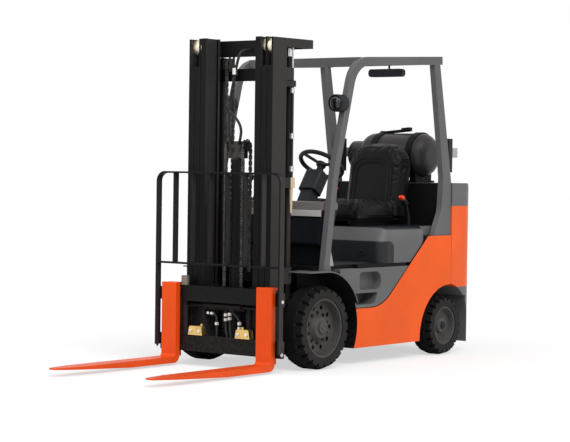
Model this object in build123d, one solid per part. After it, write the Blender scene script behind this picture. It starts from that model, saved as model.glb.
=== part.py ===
from build123d import *
import os
from math import cos, pi, radians, sin

os.makedirs("parts", exist_ok=True)

# Sizes in millimetres: x forward from the front axle, y to the left, z up from the ground
WHEELBASE = 1420
REAR_OVERHANG = 416
LOAD_DISTANCE = 445
RUN_GAP = 0.1
EYE_PLAY = 3
SEAM = 4
SHEET = 8

# Wheels
FRONT_TYRE_R = 266.5
FRONT_TYRE_W = 178
FRONT_RIM_R = 190.5
FRONT_WHEEL_Y = 449
REAR_TYRE_R = 203
REAR_TYRE_W = 152
REAR_RIM_R = 133.5
REAR_WHEEL_Y = 446
RIM_BAND = 14
LUG_BAND = 46
LUG_DEPTH = 20
LUG_LEAN = 0.93
LUG_SHARE = 0.33
NOTCH_SHARE = 0.1
FRONT_LUGS = 22
REAR_LUGS = 20
AXLE_TUBE_R = 58
SPINDLE_R = 45
REAR_SPINDLE_R = 28
KINGPIN_Y = 372
KINGPIN_R = 16
REAR_PLATE_LOW = 335
BEAM_HALF = 34

# Mast rails, nested side by side from the outside in
MAST_HALF_W = 345
MAST_FRONT = 326
MAST_DEPTH = 142
MAST_TOP = 2110
MAST_FOOT = 85
RAIL_W = 42
RAIL_GAP = 8
RAIL_FLANGE = 20
RAIL_WEB = 14
EAR_ROOM = 20
NOTCH_H = 183
LAYER = 16
PIVOT_X = 110
PIVOT_Z = 230
PIVOT_R = 25
LUG_R = 50
EAR_R = 30
LIFT_CYL_X = 74
LIFT_CYL_Y = 272
LIFT_CYL_R = 29
LIFT_ROD_R = 20
LIFT_CYL_LOW = 348
LIFT_BORE_LOW = 352
FREE_CYL_X = 235
FREE_CYL_R = 42
FREE_ROD_R = 28
FREE_BORE_LOW = 190
LIFT_CHAIN_Y = 70
STAGE_CHAIN_Y = 130
CHAIN_W = 24
CHAIN_T = 12
SHEAVE_R = 44
STAGE_SHEAVE_R = 40
HOSE_X = 96
HOSE_Y = 325
HOSE_R = 10
TILT_Y = 200
TILT_EYE_X = 72
TILT_EYE_Z = 590
TILT_REAR_X = -400
TILT_REAR_Z = 545
TILT_BARREL_R = 34
TILT_ROD_R = 18
TILT_PIN_R = 14

# Carriage, side shifter, backrest and forks
CARRIAGE_LOW = 95
CARRIAGE_H = 407
CARRIAGE_PLATE_Y = 197
CARRIAGE_PLATE_T = 25
CARRIAGE_BAR_X = 345
CARRIAGE_BAR_T = 20
SHIFT_GAP = 6
FORK_BAR_T = 31
FORK_INSET = 108
SHIFT_CYL_Z = 392
FORK_LENGTH = 1070
FORK_W = 122
FORK_T = 40
FORK_LIFT = 14
SHANK_TOP = 535
BACKREST_HALF_W = 506
BACKREST_TOP = 1246
BACKREST_BAR = 12
BACKREST_DEPTH = 62
BACKREST_BARS = 6

# Body
ARCH_X = -45
ARCH_R = 360
SIDE_Y = 500
FRAME_Y = 334
FRAME_T = 16
FRAME_ARCH = 340
SILL_LOW = 110
SILL_STEP = 368
SILL_TOP = 827
SEAM_BACK = 98
REAR_ARCH_BACK = 80
REAR_ARCH_Z = 122
REAR_ARCH_R = 362
FLOOR_TOP = 655
FLOOR_T = 24
HOOD_FRONT = -690
HOOD_TOP = 893
HOOD_REACH = 16
GUARD_Y = 470
GUARD_W = 42
GUARD_H = 56
GUARD_BEND = 200
ROOF_FRONT = (-362, 1982)
ROOF_REAR_Z = 2036
ROOF_BARS = 6
ROOF_BAR_HALF = 16
CW_TOP = 1190
CW_LOW = 70
CW_CORNER = 150
TOW_DEPTH = 110
TOW_R = 20
TANK_BACK = 220
TANK_Z = 1384
TANK_R = 155
TANK_LEFT = 250
TANK_RIGHT = -320
DASH_TOP = 1067
STEER_HUB = (-659, 1308)
STEER_TILT = 35
STEER_R = 165
MIRROR_X = -985

# Values that follow from the ones above
MAST_REAR = MAST_FRONT - MAST_DEPTH
RAIL_STEP = RAIL_W + RAIL_GAP
OUTER_Y = MAST_HALF_W
MIDDLE_Y = OUTER_Y - RAIL_STEP
INNER_Y = MIDDLE_Y - RAIL_STEP
ROLLER_X = MAST_FRONT - MAST_DEPTH / 2
ROLLER_R = MAST_DEPTH / 2 - RAIL_FLANGE - 1
INNER_LAYER = MAST_REAR - 2 - LAYER
MIDDLE_LAYER = INNER_LAYER - SEAM - LAYER
CHAIN_LAYER = MIDDLE_LAYER - SEAM - 2 - CHAIN_T
OUTER_LAYER = CHAIN_LAYER - SEAM - LAYER
FORK_BAR_HALF_W = BACKREST_HALF_W - BACKREST_BAR / 2
FORK_Y = FORK_BAR_HALF_W - FORK_INSET
FORK_BAR_X = CARRIAGE_BAR_X + CARRIAGE_BAR_T + SHIFT_GAP
FORK_BACK = LOAD_DISTANCE - FORK_T
CARRIAGE_TOP = CARRIAGE_LOW + CARRIAGE_H
FORK_TIP = LOAD_DISTANCE + FORK_LENGTH
TRUCK_REAR = -WHEELBASE - REAR_OVERHANG
ARCH_TOP = FRONT_TYRE_R + ARCH_R
FLOOR_LOW = FLOOR_TOP - FLOOR_T
SEAM_X = -WHEELBASE - SEAM_BACK
REAR_ARCH_X = -WHEELBASE - REAR_ARCH_BACK
HOOD_BACK = -WHEELBASE - HOOD_REACH
TANK_X = -WHEELBASE - TANK_BACK
FRAME_REAR = -WHEELBASE + 280
SEAT_X = SEAM_X + 248
CW_FRONT = SEAM_X - SEAM
TOW_X = TRUCK_REAR + TOW_DEPTH
SEAT_PAN = HOOD_TOP + 50
CENTRE_SHIFT = -(FORK_TIP + TRUCK_REAR) / 2
STAGE_SHEAVE_Z = MAST_TOP - 170
CROSSHEAD_Z = MAST_TOP - 695
STAGE_LIFT = MAST_TOP - 510
FREE_LIFT = MAST_TOP - 760
CAP_LOW = MAST_TOP - 115
CAP_HIGH = MAST_TOP - 25
ROD_TOP = CAP_HIGH - 40


def block(x, y, z):
    """Box between the low and high values given for each axis."""
    centre = [(low + high) / 2 for low, high in (x, y, z)]
    return Pos(*centre) * Box(x[1] - x[0], y[1] - y[0], z[1] - z[0])


def mirrored(part):
    """The same part on the other side of the truck."""
    return mirror(part, about=Plane.XZ)


def both(part):
    """The part and its mirror image."""
    return part + mirrored(part)


def side_plate(outline, y):
    """Plate with a closed outline in the side view, between two y values."""
    return extrude(Plane.XZ.offset(-y[1]) * make_face(outline), amount=y[1] - y[0])


def bar_y(radius, x, z, y):
    """Round bar along y."""
    return Pos(x, (y[0] + y[1]) / 2, z) * Rot(90, 0, 0) * Cylinder(radius, y[1] - y[0])


def post(radius, x, y, z):
    """Round bar along z."""
    return Pos(x, y, (z[0] + z[1]) / 2) * Cylinder(radius, z[1] - z[0])


def bar_x(radius, y, z, x):
    """Round bar along x."""
    return Pos((x[0] + x[1]) / 2, y, z) * Rot(0, 90, 0) * Cylinder(radius, x[1] - x[0])


def turned(outline, x, y, z):
    """Turned piece from an outline of radius and outward distance, its axis along y."""
    return Pos(x, y, z) * Rot(-90, 0, 0) * revolve(Plane.XZ * make_face(outline), axis=Axis.Z)


# Wheels
def ring(corners, lugs, turn, z):
    """Points round a tyre, from the radius and the share of the pitch of each corner of one lug."""
    pitch = 2 * pi / lugs
    spots = [(reach, (k + share + turn) * pitch) for k in range(lugs) for reach, share in corners]
    return [Vector(reach * cos(angle), reach * sin(angle), z) for reach, angle in spots]


def flat_sided(low, high):
    """Solid with flat walls between two like rings of points."""
    walls = [[low[k - 1], low[k], high[k], high[k - 1]] for k in range(len(low))]
    return Solid(Shell([Face(Wire.make_polygon(wall)) for wall in [*walls, low, high]]))


def tyre(radius, width, rim, lugs, x, y):
    """Solid tyre: a running band of narrow flats between two rings of staggered lugs that lean in."""
    half = width / 2
    band = half - LUG_BAND
    gap_half = 0.5 - LUG_SHARE
    reach = radius / cos(gap_half * 2 * pi / lugs)
    root = reach - LUG_DEPTH
    flats = [(reach, share) for share in (-LUG_SHARE, -gap_half, gap_half, LUG_SHARE)]
    lug = ((reach, -LUG_SHARE), (reach, LUG_SHARE), (root, 0.5 - NOTCH_SHARE), (root, 0.5 + NOTCH_SHARE))
    body = flat_sided(ring(flats, lugs, 0, -band), ring(flats, lugs, 0, band))
    for side, turn in ((1, 0), (-1, 0.5)):
        foot = ring(lug, lugs, turn, side * band)
        edge = [Vector(spot.X * LUG_LEAN, spot.Y * LUG_LEAN, side * half) for spot in foot]
        body += flat_sided(foot, edge)
    return Pos(x, y, radius) * Rot(-90, 0, 0) * (body - Cylinder(rim, width + 2))


def front_tyre():
    return tyre(FRONT_TYRE_R, FRONT_TYRE_W, FRONT_RIM_R, FRONT_LUGS, 0, FRONT_WHEEL_Y)


def rear_tyre():
    return tyre(REAR_TYRE_R, REAR_TYRE_W, REAR_RIM_R, REAR_LUGS, -WHEELBASE, REAR_WHEEL_Y)


def front_disc():
    half = FRONT_TYRE_W / 2 - 6
    face = 26
    hub = 66
    outline = Polyline(
        (FRONT_RIM_R, -half), (FRONT_RIM_R, half), (FRONT_RIM_R - RIM_BAND, half),
        (FRONT_RIM_R - RIM_BAND, face), (hub + 20, face), (hub, face + 34), (0, face + 40),
        (0, face - 10), (SPINDLE_R + RUN_GAP, face - 10), (SPINDLE_R + RUN_GAP, -20),
        (hub, -20), (hub, face - RIM_BAND), (FRONT_RIM_R - RIM_BAND, face - RIM_BAND),
        (FRONT_RIM_R - RIM_BAND, -half), close=True,
    )
    disc = turned(outline, 0, FRONT_WHEEL_Y, FRONT_TYRE_R)
    holes = [Rot(0, 36 * k, 0) * bar_y(15, 132, 0, (0, 2 * half)) for k in range(10)]
    return disc - Pos(0, FRONT_WHEEL_Y - half, FRONT_TYRE_R) * Part(children=holes)


def rear_disc():
    half = REAR_TYRE_W / 2 - 6
    face = 30
    hub = 50
    outline = Polyline(
        (REAR_RIM_R, -half), (REAR_RIM_R, half), (REAR_RIM_R - RIM_BAND, half),
        (REAR_RIM_R - RIM_BAND - 8, face), (hub + 10, face), (hub, face + 22), (0, face + 26),
        (0, face - 4), (REAR_SPINDLE_R + RUN_GAP, face - 4), (REAR_SPINDLE_R + RUN_GAP, -10),
        (hub, -10), (hub, face - RIM_BAND), (REAR_RIM_R - RIM_BAND - 8, face - RIM_BAND),
        (REAR_RIM_R - RIM_BAND, -half), close=True,
    )
    return turned(outline, -WHEELBASE, REAR_WHEEL_Y, REAR_TYRE_R)


def drive_axle():
    inner = FRONT_WHEEL_Y - FRONT_TYRE_W / 2
    axle = bar_y(AXLE_TUBE_R, 0, FRONT_TYRE_R, (0, inner - 7))
    axle += bar_y(150, 0, FRONT_TYRE_R, (inner - 8, inner + 34))
    axle += bar_y(SPINDLE_R, 0, FRONT_TYRE_R, (inner, FRONT_WHEEL_Y + 12))
    ear = (284, 299)
    axle += bar_y(EAR_R, PIVOT_X, PIVOT_Z, ear)
    axle += block((0, PIVOT_X), ear, (PIVOT_Z - EAR_R, PIVOT_Z + EAR_R))
    axle += bar_y(PIVOT_R, PIVOT_X, PIVOT_Z, (ear[0], OUTER_Y))
    axle += block((-60, 25), (FRAME_Y - FRAME_T, FRAME_Y), (FRONT_TYRE_R, FRAME_ARCH))
    return both(axle) + bar_x(112, 0, FRONT_TYRE_R, (-120, 20)) + bar_x(70, 0, FRONT_TYRE_R, (-185, -120))


def steer_axle():
    z = REAR_TYRE_R
    beam = block((-WHEELBASE - BEAM_HALF, -WHEELBASE + BEAM_HALF), (0, KINGPIN_Y - 70), (z - 58, z + 58))
    for low in (z - 58, z + 42):
        arm = block((-WHEELBASE - 26, -WHEELBASE + 26), (KINGPIN_Y - 72, KINGPIN_Y), (low, low + 16))
        arm += post(26, -WHEELBASE, KINGPIN_Y, (low, low + 16))
        beam += arm - post(KINGPIN_R + RUN_GAP, -WHEELBASE, KINGPIN_Y, (low - 1, low + 17))
    beam = both(beam)
    return beam + block((-WHEELBASE - 60, -WHEELBASE + 60), (-134, 134), (z + 30, REAR_PLATE_LOW))


def knuckle():
    z = REAR_TYRE_R
    body = post(25, -WHEELBASE, KINGPIN_Y, (z - 40, z + 40))
    body += post(KINGPIN_R, -WHEELBASE, KINGPIN_Y, (z - 60, z + 60))
    return body + bar_y(REAR_SPINDLE_R, -WHEELBASE, z, (KINGPIN_Y, REAR_WHEEL_Y + 20))


# Mast
def rail(outside, web_inset, z):
    """Rail with a front and a rear flange; its web is set in from the outside face."""
    y = (outside - RAIL_W, outside)
    column = block((MAST_FRONT - RAIL_FLANGE, MAST_FRONT), y, z)
    column += block((MAST_REAR, MAST_REAR + RAIL_FLANGE), y, z)
    web = (outside - web_inset - RAIL_WEB, outside - web_inset)
    return column + block((MAST_REAR, MAST_FRONT), web, z)


def notch(outside, kept):
    """Opening at the top of a front flange, where the roller shows; a strip of flange may be kept."""
    x = (MAST_FRONT - RAIL_FLANGE, MAST_FRONT + 1)
    return block(x, (outside - RAIL_W - 1, outside - kept), (MAST_TOP - NOTCH_H, MAST_TOP + 1))


def tie(layer, outside, z, reach):
    """Crossmember behind the rails with its spacers out to one rail pair."""
    bar = block((layer, layer + LAYER), (-outside, outside), z)
    spacer = block((layer, MAST_REAR), (outside - reach, outside), z)
    return bar + both(spacer)


def mast_outer():
    frame = rail(OUTER_Y, 0, (MAST_FOOT, MAST_TOP - 4)) - notch(OUTER_Y, RAIL_WEB)
    lug = bar_y(LUG_R, PIVOT_X, PIVOT_Z, (OUTER_Y - RAIL_W + 2, OUTER_Y))
    lug += block((PIVOT_X, MAST_REAR), (OUTER_Y - RAIL_W + 2, OUTER_Y), (PIVOT_Z - LUG_R, PIVOT_Z + LUG_R))
    lug -= bar_y(PIVOT_R + RUN_GAP, PIVOT_X, PIVOT_Z, (0, OUTER_Y + 1))
    frame += lug
    frame += block((-90, MAST_REAR), (OUTER_Y - RAIL_WEB, OUTER_Y), (MAST_TOP - 60, MAST_TOP - 4))
    for side in (-1, 1):
        y = TILT_Y + side * 27
        ear = bar_y(26, TILT_EYE_X, TILT_EYE_Z, (y - 7, y + 7))
        ear += block((TILT_EYE_X, OUTER_LAYER), (y - 7, y + 7), (TILT_EYE_Z - 26, TILT_EYE_Z + 26))
        frame += ear
    frame += bar_y(TILT_PIN_R, TILT_EYE_X, TILT_EYE_Z, (TILT_Y - 34, TILT_Y + 34))
    shelf = (LIFT_CYL_LOW - 18, LIFT_CYL_LOW)
    frame += block((LIFT_CYL_X - 24, OUTER_LAYER + LAYER), (LIFT_CYL_Y - 30, OUTER_Y), shelf)
    frame += block((OUTER_LAYER, MAST_REAR), (OUTER_Y - RAIL_W, OUTER_Y), shelf)
    frame = both(frame)
    for z in ((MAST_FOOT + 10, 165), (545, 650), (MAST_TOP - 270, MAST_TOP - 190)):
        frame += tie(OUTER_LAYER, OUTER_Y, z, RAIL_W)
    return frame + block((-90, -70), (-OUTER_Y, OUTER_Y), (MAST_TOP - 60, MAST_TOP - 4))


def mast_middle():
    frame = rail(MIDDLE_Y, RAIL_WEB, (MAST_FOOT + 15, MAST_TOP)) - notch(MIDDLE_Y, -1)
    frame = both(frame)
    for z in ((MAST_FOOT + 20, 185), (CAP_LOW, CAP_HIGH)):
        frame += tie(MIDDLE_LAYER, MIDDLE_Y - EAR_ROOM, z, RAIL_W - EAR_ROOM)
    arm = block((LIFT_CYL_X - 30, MIDDLE_LAYER), (LIFT_CYL_Y - 20, LIFT_CYL_Y + 20), (ROD_TOP, CAP_HIGH))
    sheave_x = CHAIN_LAYER + STAGE_SHEAVE_R
    arm += bar_y(STAGE_SHEAVE_R - CHAIN_T, sheave_x, STAGE_SHEAVE_Z, (STAGE_CHAIN_Y - 15, STAGE_CHAIN_Y + 15))
    for y in (STAGE_CHAIN_Y - 20, STAGE_CHAIN_Y + 14):
        cheek = (y, y + 6)
        arm += block((MIDDLE_LAYER, sheave_x + 36), cheek, (STAGE_SHEAVE_Z - 40, STAGE_SHEAVE_Z + 45))
        arm += block((MIDDLE_LAYER, MIDDLE_LAYER + LAYER), cheek, (STAGE_SHEAVE_Z, CAP_LOW + 5))
    return frame + both(arm)


def mast_inner():
    frame = both(rail(INNER_Y, RAIL_WEB, (MAST_FOOT + 30, MAST_TOP)))
    for z in ((130, 215), (CAP_LOW, MAST_TOP - 12)):
        frame += tie(INNER_LAYER, INNER_Y, z, 30)
    foot = block((INNER_LAYER, FREE_CYL_X + 50), (-55, 55), (132, 150))
    for side in (-1, 1):
        y = side * STAGE_CHAIN_Y
        foot += block((INNER_LAYER, INNER_LAYER + LAYER + 44), (y - 12, y + 12), (190, 205))
    return frame + foot


def rollers(outside, z):
    """Rollers on a rail's inner side, running in the next rail in."""
    y = (outside - RAIL_W - RAIL_GAP - 12, outside - RAIL_WEB)
    return both(bar_y(ROLLER_R, ROLLER_X, z, y))


def middle_rollers():
    inside = MIDDLE_Y - 2 * RAIL_WEB
    top = bar_y(ROLLER_R, ROLLER_X, MAST_TOP - 56, (inside - 22, inside))
    foot = bar_y(ROLLER_R, ROLLER_X, 190, (MIDDLE_Y - RAIL_WEB, OUTER_Y - RAIL_WEB - 2))
    return both(top + foot)


def lift_barrels():
    barrel = post(LIFT_CYL_R, LIFT_CYL_X, LIFT_CYL_Y, (LIFT_CYL_LOW, CAP_LOW))
    bore = post(LIFT_ROD_R + RUN_GAP, LIFT_CYL_X, LIFT_CYL_Y, (LIFT_BORE_LOW, CAP_LOW + 5))
    return both(barrel - bore)


def lift_rods():
    return both(post(LIFT_ROD_R, LIFT_CYL_X, LIFT_CYL_Y, (LIFT_BORE_LOW, ROD_TOP)))


def free_barrel():
    barrel = post(FREE_CYL_R, FREE_CYL_X, 0, (150, CROSSHEAD_Z - 85))
    return barrel - post(FREE_ROD_R + RUN_GAP, FREE_CYL_X, 0, (FREE_BORE_LOW, CROSSHEAD_Z - 75))


def crosshead():
    head = post(FREE_ROD_R, FREE_CYL_X, 0, (FREE_BORE_LOW, CROSSHEAD_Z - 25))
    head += block((FREE_CYL_X - 34, FREE_CYL_X + 34), (-52, 52), (CROSSHEAD_Z - 75, CROSSHEAD_Z + 35))
    reach = LIFT_CHAIN_Y + CHAIN_W / 2 + 4
    head += bar_y(14, FREE_CYL_X, CROSSHEAD_Z, (-reach, reach))
    for side in (-1, 1):
        y = side * LIFT_CHAIN_Y
        head += bar_y(SHEAVE_R - CHAIN_T, FREE_CYL_X, CROSSHEAD_Z, (y - 16, y + 16))
    return head


def chain_wrap(radius, x, y, z):
    """Half turn of chain over the top of a sheave."""
    ring = Circle(radius) - Circle(radius - CHAIN_T)
    ring -= Pos(0, -radius) * Rectangle(2 * radius + 2, 2 * radius)
    return extrude(Plane.XZ.offset(-y - CHAIN_W / 2) * Pos(x, z) * ring, amount=CHAIN_W)


def chain_run(x, y, z):
    """Straight run of chain."""
    return block((x, x + CHAIN_T), (y - CHAIN_W / 2, y + CHAIN_W / 2), z)


def lift_chain_rear():
    run = chain_run(FREE_CYL_X - SHEAVE_R, LIFT_CHAIN_Y, (CROSSHEAD_Z - FREE_LIFT / 2 - 125, CROSSHEAD_Z))
    return both(run + chain_wrap(SHEAVE_R, FREE_CYL_X, LIFT_CHAIN_Y, CROSSHEAD_Z))


def lift_chain_front():
    return both(chain_run(FREE_CYL_X + SHEAVE_R - CHAIN_T, LIFT_CHAIN_Y, (430, CROSSHEAD_Z)))


def stage_chain_rear():
    run = chain_run(CHAIN_LAYER, STAGE_CHAIN_Y, (STAGE_SHEAVE_Z - STAGE_LIFT - 50, STAGE_SHEAVE_Z))
    return both(run + chain_wrap(STAGE_SHEAVE_R, CHAIN_LAYER + STAGE_SHEAVE_R, STAGE_CHAIN_Y, STAGE_SHEAVE_Z))


def stage_chain_front():
    x = CHAIN_LAYER + 2 * STAGE_SHEAVE_R - CHAIN_T
    return both(chain_run(x, STAGE_CHAIN_Y, (205, STAGE_SHEAVE_Z)))


def tilt_direction():
    """Length and slope of a tilt cylinder between its two pins."""
    return Vector(TILT_EYE_X - TILT_REAR_X, 0, TILT_EYE_Z - TILT_REAR_Z)


def tilt_along(radius, start, end):
    """Round bar along a tilt cylinder, from its rear pin."""
    axis = Plane(origin=(TILT_REAR_X, TILT_Y, TILT_REAR_Z), z_dir=tilt_direction())
    return axis * Pos(0, 0, (start + end) / 2) * Cylinder(radius, end - start)


def tilt_barrel():
    barrel = tilt_along(TILT_BARREL_R, 40, 330) + tilt_along(15, 0, 60)
    barrel += bar_y(26, TILT_REAR_X, TILT_REAR_Z, (TILT_Y - 16, TILT_Y + 16))
    barrel -= bar_y(TILT_PIN_R + RUN_GAP, TILT_REAR_X, TILT_REAR_Z, (TILT_Y - 20, TILT_Y + 20))
    return barrel - tilt_along(TILT_ROD_R + RUN_GAP, 80, 340)


def tilt_rod():
    length = tilt_direction().length
    rod = tilt_along(TILT_ROD_R, 140, length - 20)
    rod += bar_y(25, TILT_EYE_X, TILT_EYE_Z, (TILT_Y - 15, TILT_Y + 15))
    return rod - bar_y(TILT_PIN_R + EYE_PLAY, TILT_EYE_X, TILT_EYE_Z, (TILT_Y - 20, TILT_Y + 20))


def mast_hose():
    """Hydraulic hose behind the left upright: chain, bracket, hose, clamp and its tapered sleeve."""
    hose = post(HOSE_R, HOSE_X, HOSE_Y, (MAST_TOP - 960, MAST_TOP - 290))
    hose += post(6, HOSE_X, HOSE_Y, (MAST_TOP - 290, MAST_TOP - 60))
    for low, high in ((MAST_TOP - 310, MAST_TOP - 270), (MAST_TOP - 954, MAST_TOP - 889)):
        hose += block((HOSE_X - 20, MAST_REAR), (HOSE_Y - 13, HOSE_Y + 13), (low, high))
    for z in (MAST_TOP - 350, MAST_TOP - 640, MAST_TOP - 850):
        hose += post(HOSE_R + 4, HOSE_X, HOSE_Y, (z, z + 34))
    sleeve = Pos(HOSE_X, HOSE_Y, MAST_TOP - 1034) * Cone(7, HOSE_R + 2, 160)
    return hose + sleeve


# Carriage
def carriage():
    inside = CARRIAGE_PLATE_Y - CARRIAGE_PLATE_T
    top = CARRIAGE_TOP + 20
    frame = block((MAST_REAR + 24, CARRIAGE_BAR_X), (inside, CARRIAGE_PLATE_Y), (CARRIAGE_LOW, top))
    frame -= block((CARRIAGE_BAR_X - 24, CARRIAGE_BAR_X + 1), (0, CARRIAGE_PLATE_Y), (top - 50, top + 1))
    for z in (CARRIAGE_LOW + 70, CARRIAGE_TOP - 40):
        frame += bar_y(ROLLER_R, ROLLER_X, z, (CARRIAGE_PLATE_Y, INNER_Y - 2 * RAIL_WEB - 2))
    frame = both(frame)
    x = (CARRIAGE_BAR_X, CARRIAGE_BAR_X + CARRIAGE_BAR_T)
    frame += block(x, (-380, 380), (CARRIAGE_LOW + 15, CARRIAGE_LOW + 90))
    frame += block(x, (-380, 380), (CARRIAGE_TOP - 62, CARRIAGE_TOP - 4))
    frame += block((292, CARRIAGE_BAR_X), (-inside, inside), (405, 425))
    for side in (-1, 1):
        y = side * LIFT_CHAIN_Y
        frame += block((FREE_CYL_X + SHEAVE_R - CHAIN_T, 300), (y - 12, y + 12), (405, 430))
    barrel = bar_y(26, CARRIAGE_BAR_X + 12, SHIFT_CYL_Z, (-150, 150))
    frame += barrel - bar_y(12 + RUN_GAP, CARRIAGE_BAR_X + 12, SHIFT_CYL_Z, (-160, 160))
    for y in ((-150, -130), (130, 150)):
        frame += block((CARRIAGE_BAR_X - 20, CARRIAGE_BAR_X), y, (SHIFT_CYL_Z - 26, 425))
    return frame


def side_shifter():
    x = (FORK_BAR_X, FORK_BAR_X + FORK_BAR_T)
    half = FORK_BAR_HALF_W
    frame = block(x, (-half, half), (CARRIAGE_LOW, CARRIAGE_LOW + 106))
    frame += block(x, (-half, half), (CARRIAGE_TOP - 84, CARRIAGE_TOP))
    for side in (-1, 1):
        y = side * 318
        frame += block(x, (y - 24, y + 24), (CARRIAGE_LOW + 100, CARRIAGE_TOP - 80))
        frame += block((CARRIAGE_BAR_X - 8, x[1]), (y - 12, y + 12), (SHIFT_CYL_Z - 22, SHIFT_CYL_Z + 22))
    hook = block((CARRIAGE_BAR_X - 14, x[1]), (-360, 360), (CARRIAGE_TOP, CARRIAGE_TOP + 16))
    hook += block((CARRIAGE_BAR_X - 14, CARRIAGE_BAR_X - 6), (-150, 150), (CARRIAGE_TOP - 22, CARRIAGE_TOP))
    frame += hook
    for k in range(-3, 4):
        gap = (90 * k - 8, 90 * k + 8)
        frame -= block((CARRIAGE_BAR_X - 15, x[1] + 1), gap, (CARRIAGE_TOP + 5, CARRIAGE_TOP + 17))
    rod = bar_y(12, CARRIAGE_BAR_X + 12, SHIFT_CYL_Z, (-310, 310))
    return frame + rod


def lower_hooks():
    """Pair of cast hooks that hold the fork bar down, narrower towards the top."""
    x = FORK_BAR_X + FORK_BAR_T
    low = CARRIAGE_LOW + 106
    face = FilletPolyline(
        (135, low), (255, low), (245, low + 58), (145, low + 58), radius=(2, 2, 16, 16), close=True
    )
    return both(extrude(Plane.YZ.offset(FORK_BAR_X) * make_face(face), amount=x - FORK_BAR_X + 12))


def backrest():
    post_x = FORK_BAR_X + FORK_BAR_T
    low = CARRIAGE_LOW + 30
    path = FilletPolyline(
        (-BACKREST_HALF_W, low), (-BACKREST_HALF_W, BACKREST_TOP),
        (BACKREST_HALF_W, BACKREST_TOP), (BACKREST_HALF_W, low), radius=60,
    )
    frame = extrude(Plane.YZ.offset(post_x) * trace(path, BACKREST_BAR), amount=BACKREST_DEPTH - 20)
    rail_z = 655
    x = (post_x, post_x + BACKREST_DEPTH - 20)
    frame += block(x, (-BACKREST_HALF_W, BACKREST_HALF_W), (rail_z, rail_z + BACKREST_BAR))
    pitch = 2 * BACKREST_HALF_W / (BACKREST_BARS + 1)
    for k in range(1, BACKREST_BARS + 1):
        y = -BACKREST_HALF_W + k * pitch
        frame += block(x, (y - 6, y + 6), (rail_z, BACKREST_TOP))
    return frame


def fork():
    blade_top = FORK_LIFT + FORK_T
    side = FilletPolyline(
        (FORK_BACK, SHANK_TOP), (LOAD_DISTANCE, SHANK_TOP), (LOAD_DISTANCE, blade_top),
        (FORK_TIP, blade_top), (FORK_TIP, blade_top - 10), (LOAD_DISTANCE + 420, FORK_LIFT),
        (FORK_BACK, FORK_LIFT), radius=(6, 6, 22, 2, 2, 60, 50), close=True,
    )
    arm = side_plate(side, (FORK_Y - FORK_W / 2, FORK_Y + FORK_W / 2))
    hook_x = FORK_BAR_X - 4
    arm += block((hook_x, FORK_BACK), (FORK_Y - 45, FORK_Y + 45), (CARRIAGE_TOP + 16, SHANK_TOP))
    arm += block((FORK_BAR_X, FORK_BACK), (FORK_Y - 45, FORK_Y + 45), (CARRIAGE_LOW - 40, CARRIAGE_LOW - 1))
    plan = FilletPolyline(
        (FORK_BACK - 60, FORK_Y - 70), (FORK_TIP - 260, FORK_Y - 70), (FORK_TIP, FORK_Y - 30),
        (FORK_TIP, FORK_Y + 30), (FORK_TIP - 260, FORK_Y + 70), (FORK_BACK - 60, FORK_Y + 70),
        radius=(0, 60, 25, 25, 60, 0), close=True,
    )
    return arm & extrude(make_face(plan), amount=SHANK_TOP + 1)


# Body
def main_frame():
    y = (FRAME_Y - FRAME_T, FRAME_Y)
    outline = Polyline(
        (30, FRAME_ARCH), (30, FLOOR_LOW), (FRAME_REAR, FLOOR_LOW), (FRAME_REAR, 150),
        (-200, 150), (-110, 200), (-110, FRAME_ARCH), close=True,
    )
    frame = both(side_plate(outline, y))
    frame += block((-200, -185), (-FRAME_Y, FRAME_Y), (150, 470))
    frame += block((FRAME_REAR, FRAME_REAR + FRAME_T), (-FRAME_Y, FRAME_Y), (150, 600))
    rear = both(block((CW_FRONT, FRAME_REAR), (118, 134), (330, 600)))
    rear += block((CW_FRONT, CW_FRONT + FRAME_T), (-134, 134), (330, 600))
    frame += rear - block((-WHEELBASE - 70, -WHEELBASE + 70), (-150, 150), (300, REAR_PLATE_LOW))
    frame += block((TILT_REAR_X - 60, TILT_REAR_X - 45), (-FRAME_Y, FRAME_Y), (470, 600))
    for side in (-1, 1):
        for edge in (-1, 1):
            c = side * TILT_Y + edge * 26
            y = (c - 7, c + 7)
            frame += bar_y(26, TILT_REAR_X, TILT_REAR_Z, y)
            frame += block((TILT_REAR_X - 50, TILT_REAR_X), y, (TILT_REAR_Z - 26, TILT_REAR_Z + 26))
        frame += bar_y(TILT_PIN_R, TILT_REAR_X, TILT_REAR_Z, (side * TILT_Y - 33, side * TILT_Y + 33))
    return frame


def arch_x(z, gap=0):
    """Rear edge of the front wheel arch at a height."""
    return ARCH_X - ((ARCH_R + gap) ** 2 - (z - FRONT_TYRE_R) ** 2) ** 0.5


def sweep_edge():
    """Foot and head of the rising edge between the orange sill and the grey panels."""
    return (HOOD_FRONT, SILL_STEP), (HOOD_FRONT - (SILL_TOP - SILL_STEP) - 80, SILL_TOP)


def sill_outline():
    low, high = sweep_edge()
    front_low = (arch_x(SILL_LOW), SILL_LOW)
    front_high = (arch_x(SILL_STEP), SILL_STEP)
    mid = (arch_x(240), 240)
    top = FilletPolyline(front_high, low, high, (SEAM_X, SILL_TOP), radius=(330, 20))
    foot = (REAR_ARCH_X + REAR_ARCH_R, SILL_LOW)
    crown = (SEAM_X, REAR_ARCH_Z + REAR_ARCH_R)
    bend = (REAR_ARCH_X + REAR_ARCH_R * cos(radians(45)), REAR_ARCH_Z + REAR_ARCH_R * sin(radians(45)))
    return [
        ThreePointArc(front_low, mid, front_high), top, Line((SEAM_X, SILL_TOP), crown),
        ThreePointArc(crown, bend, foot), Line(foot, front_low),
    ]


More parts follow.
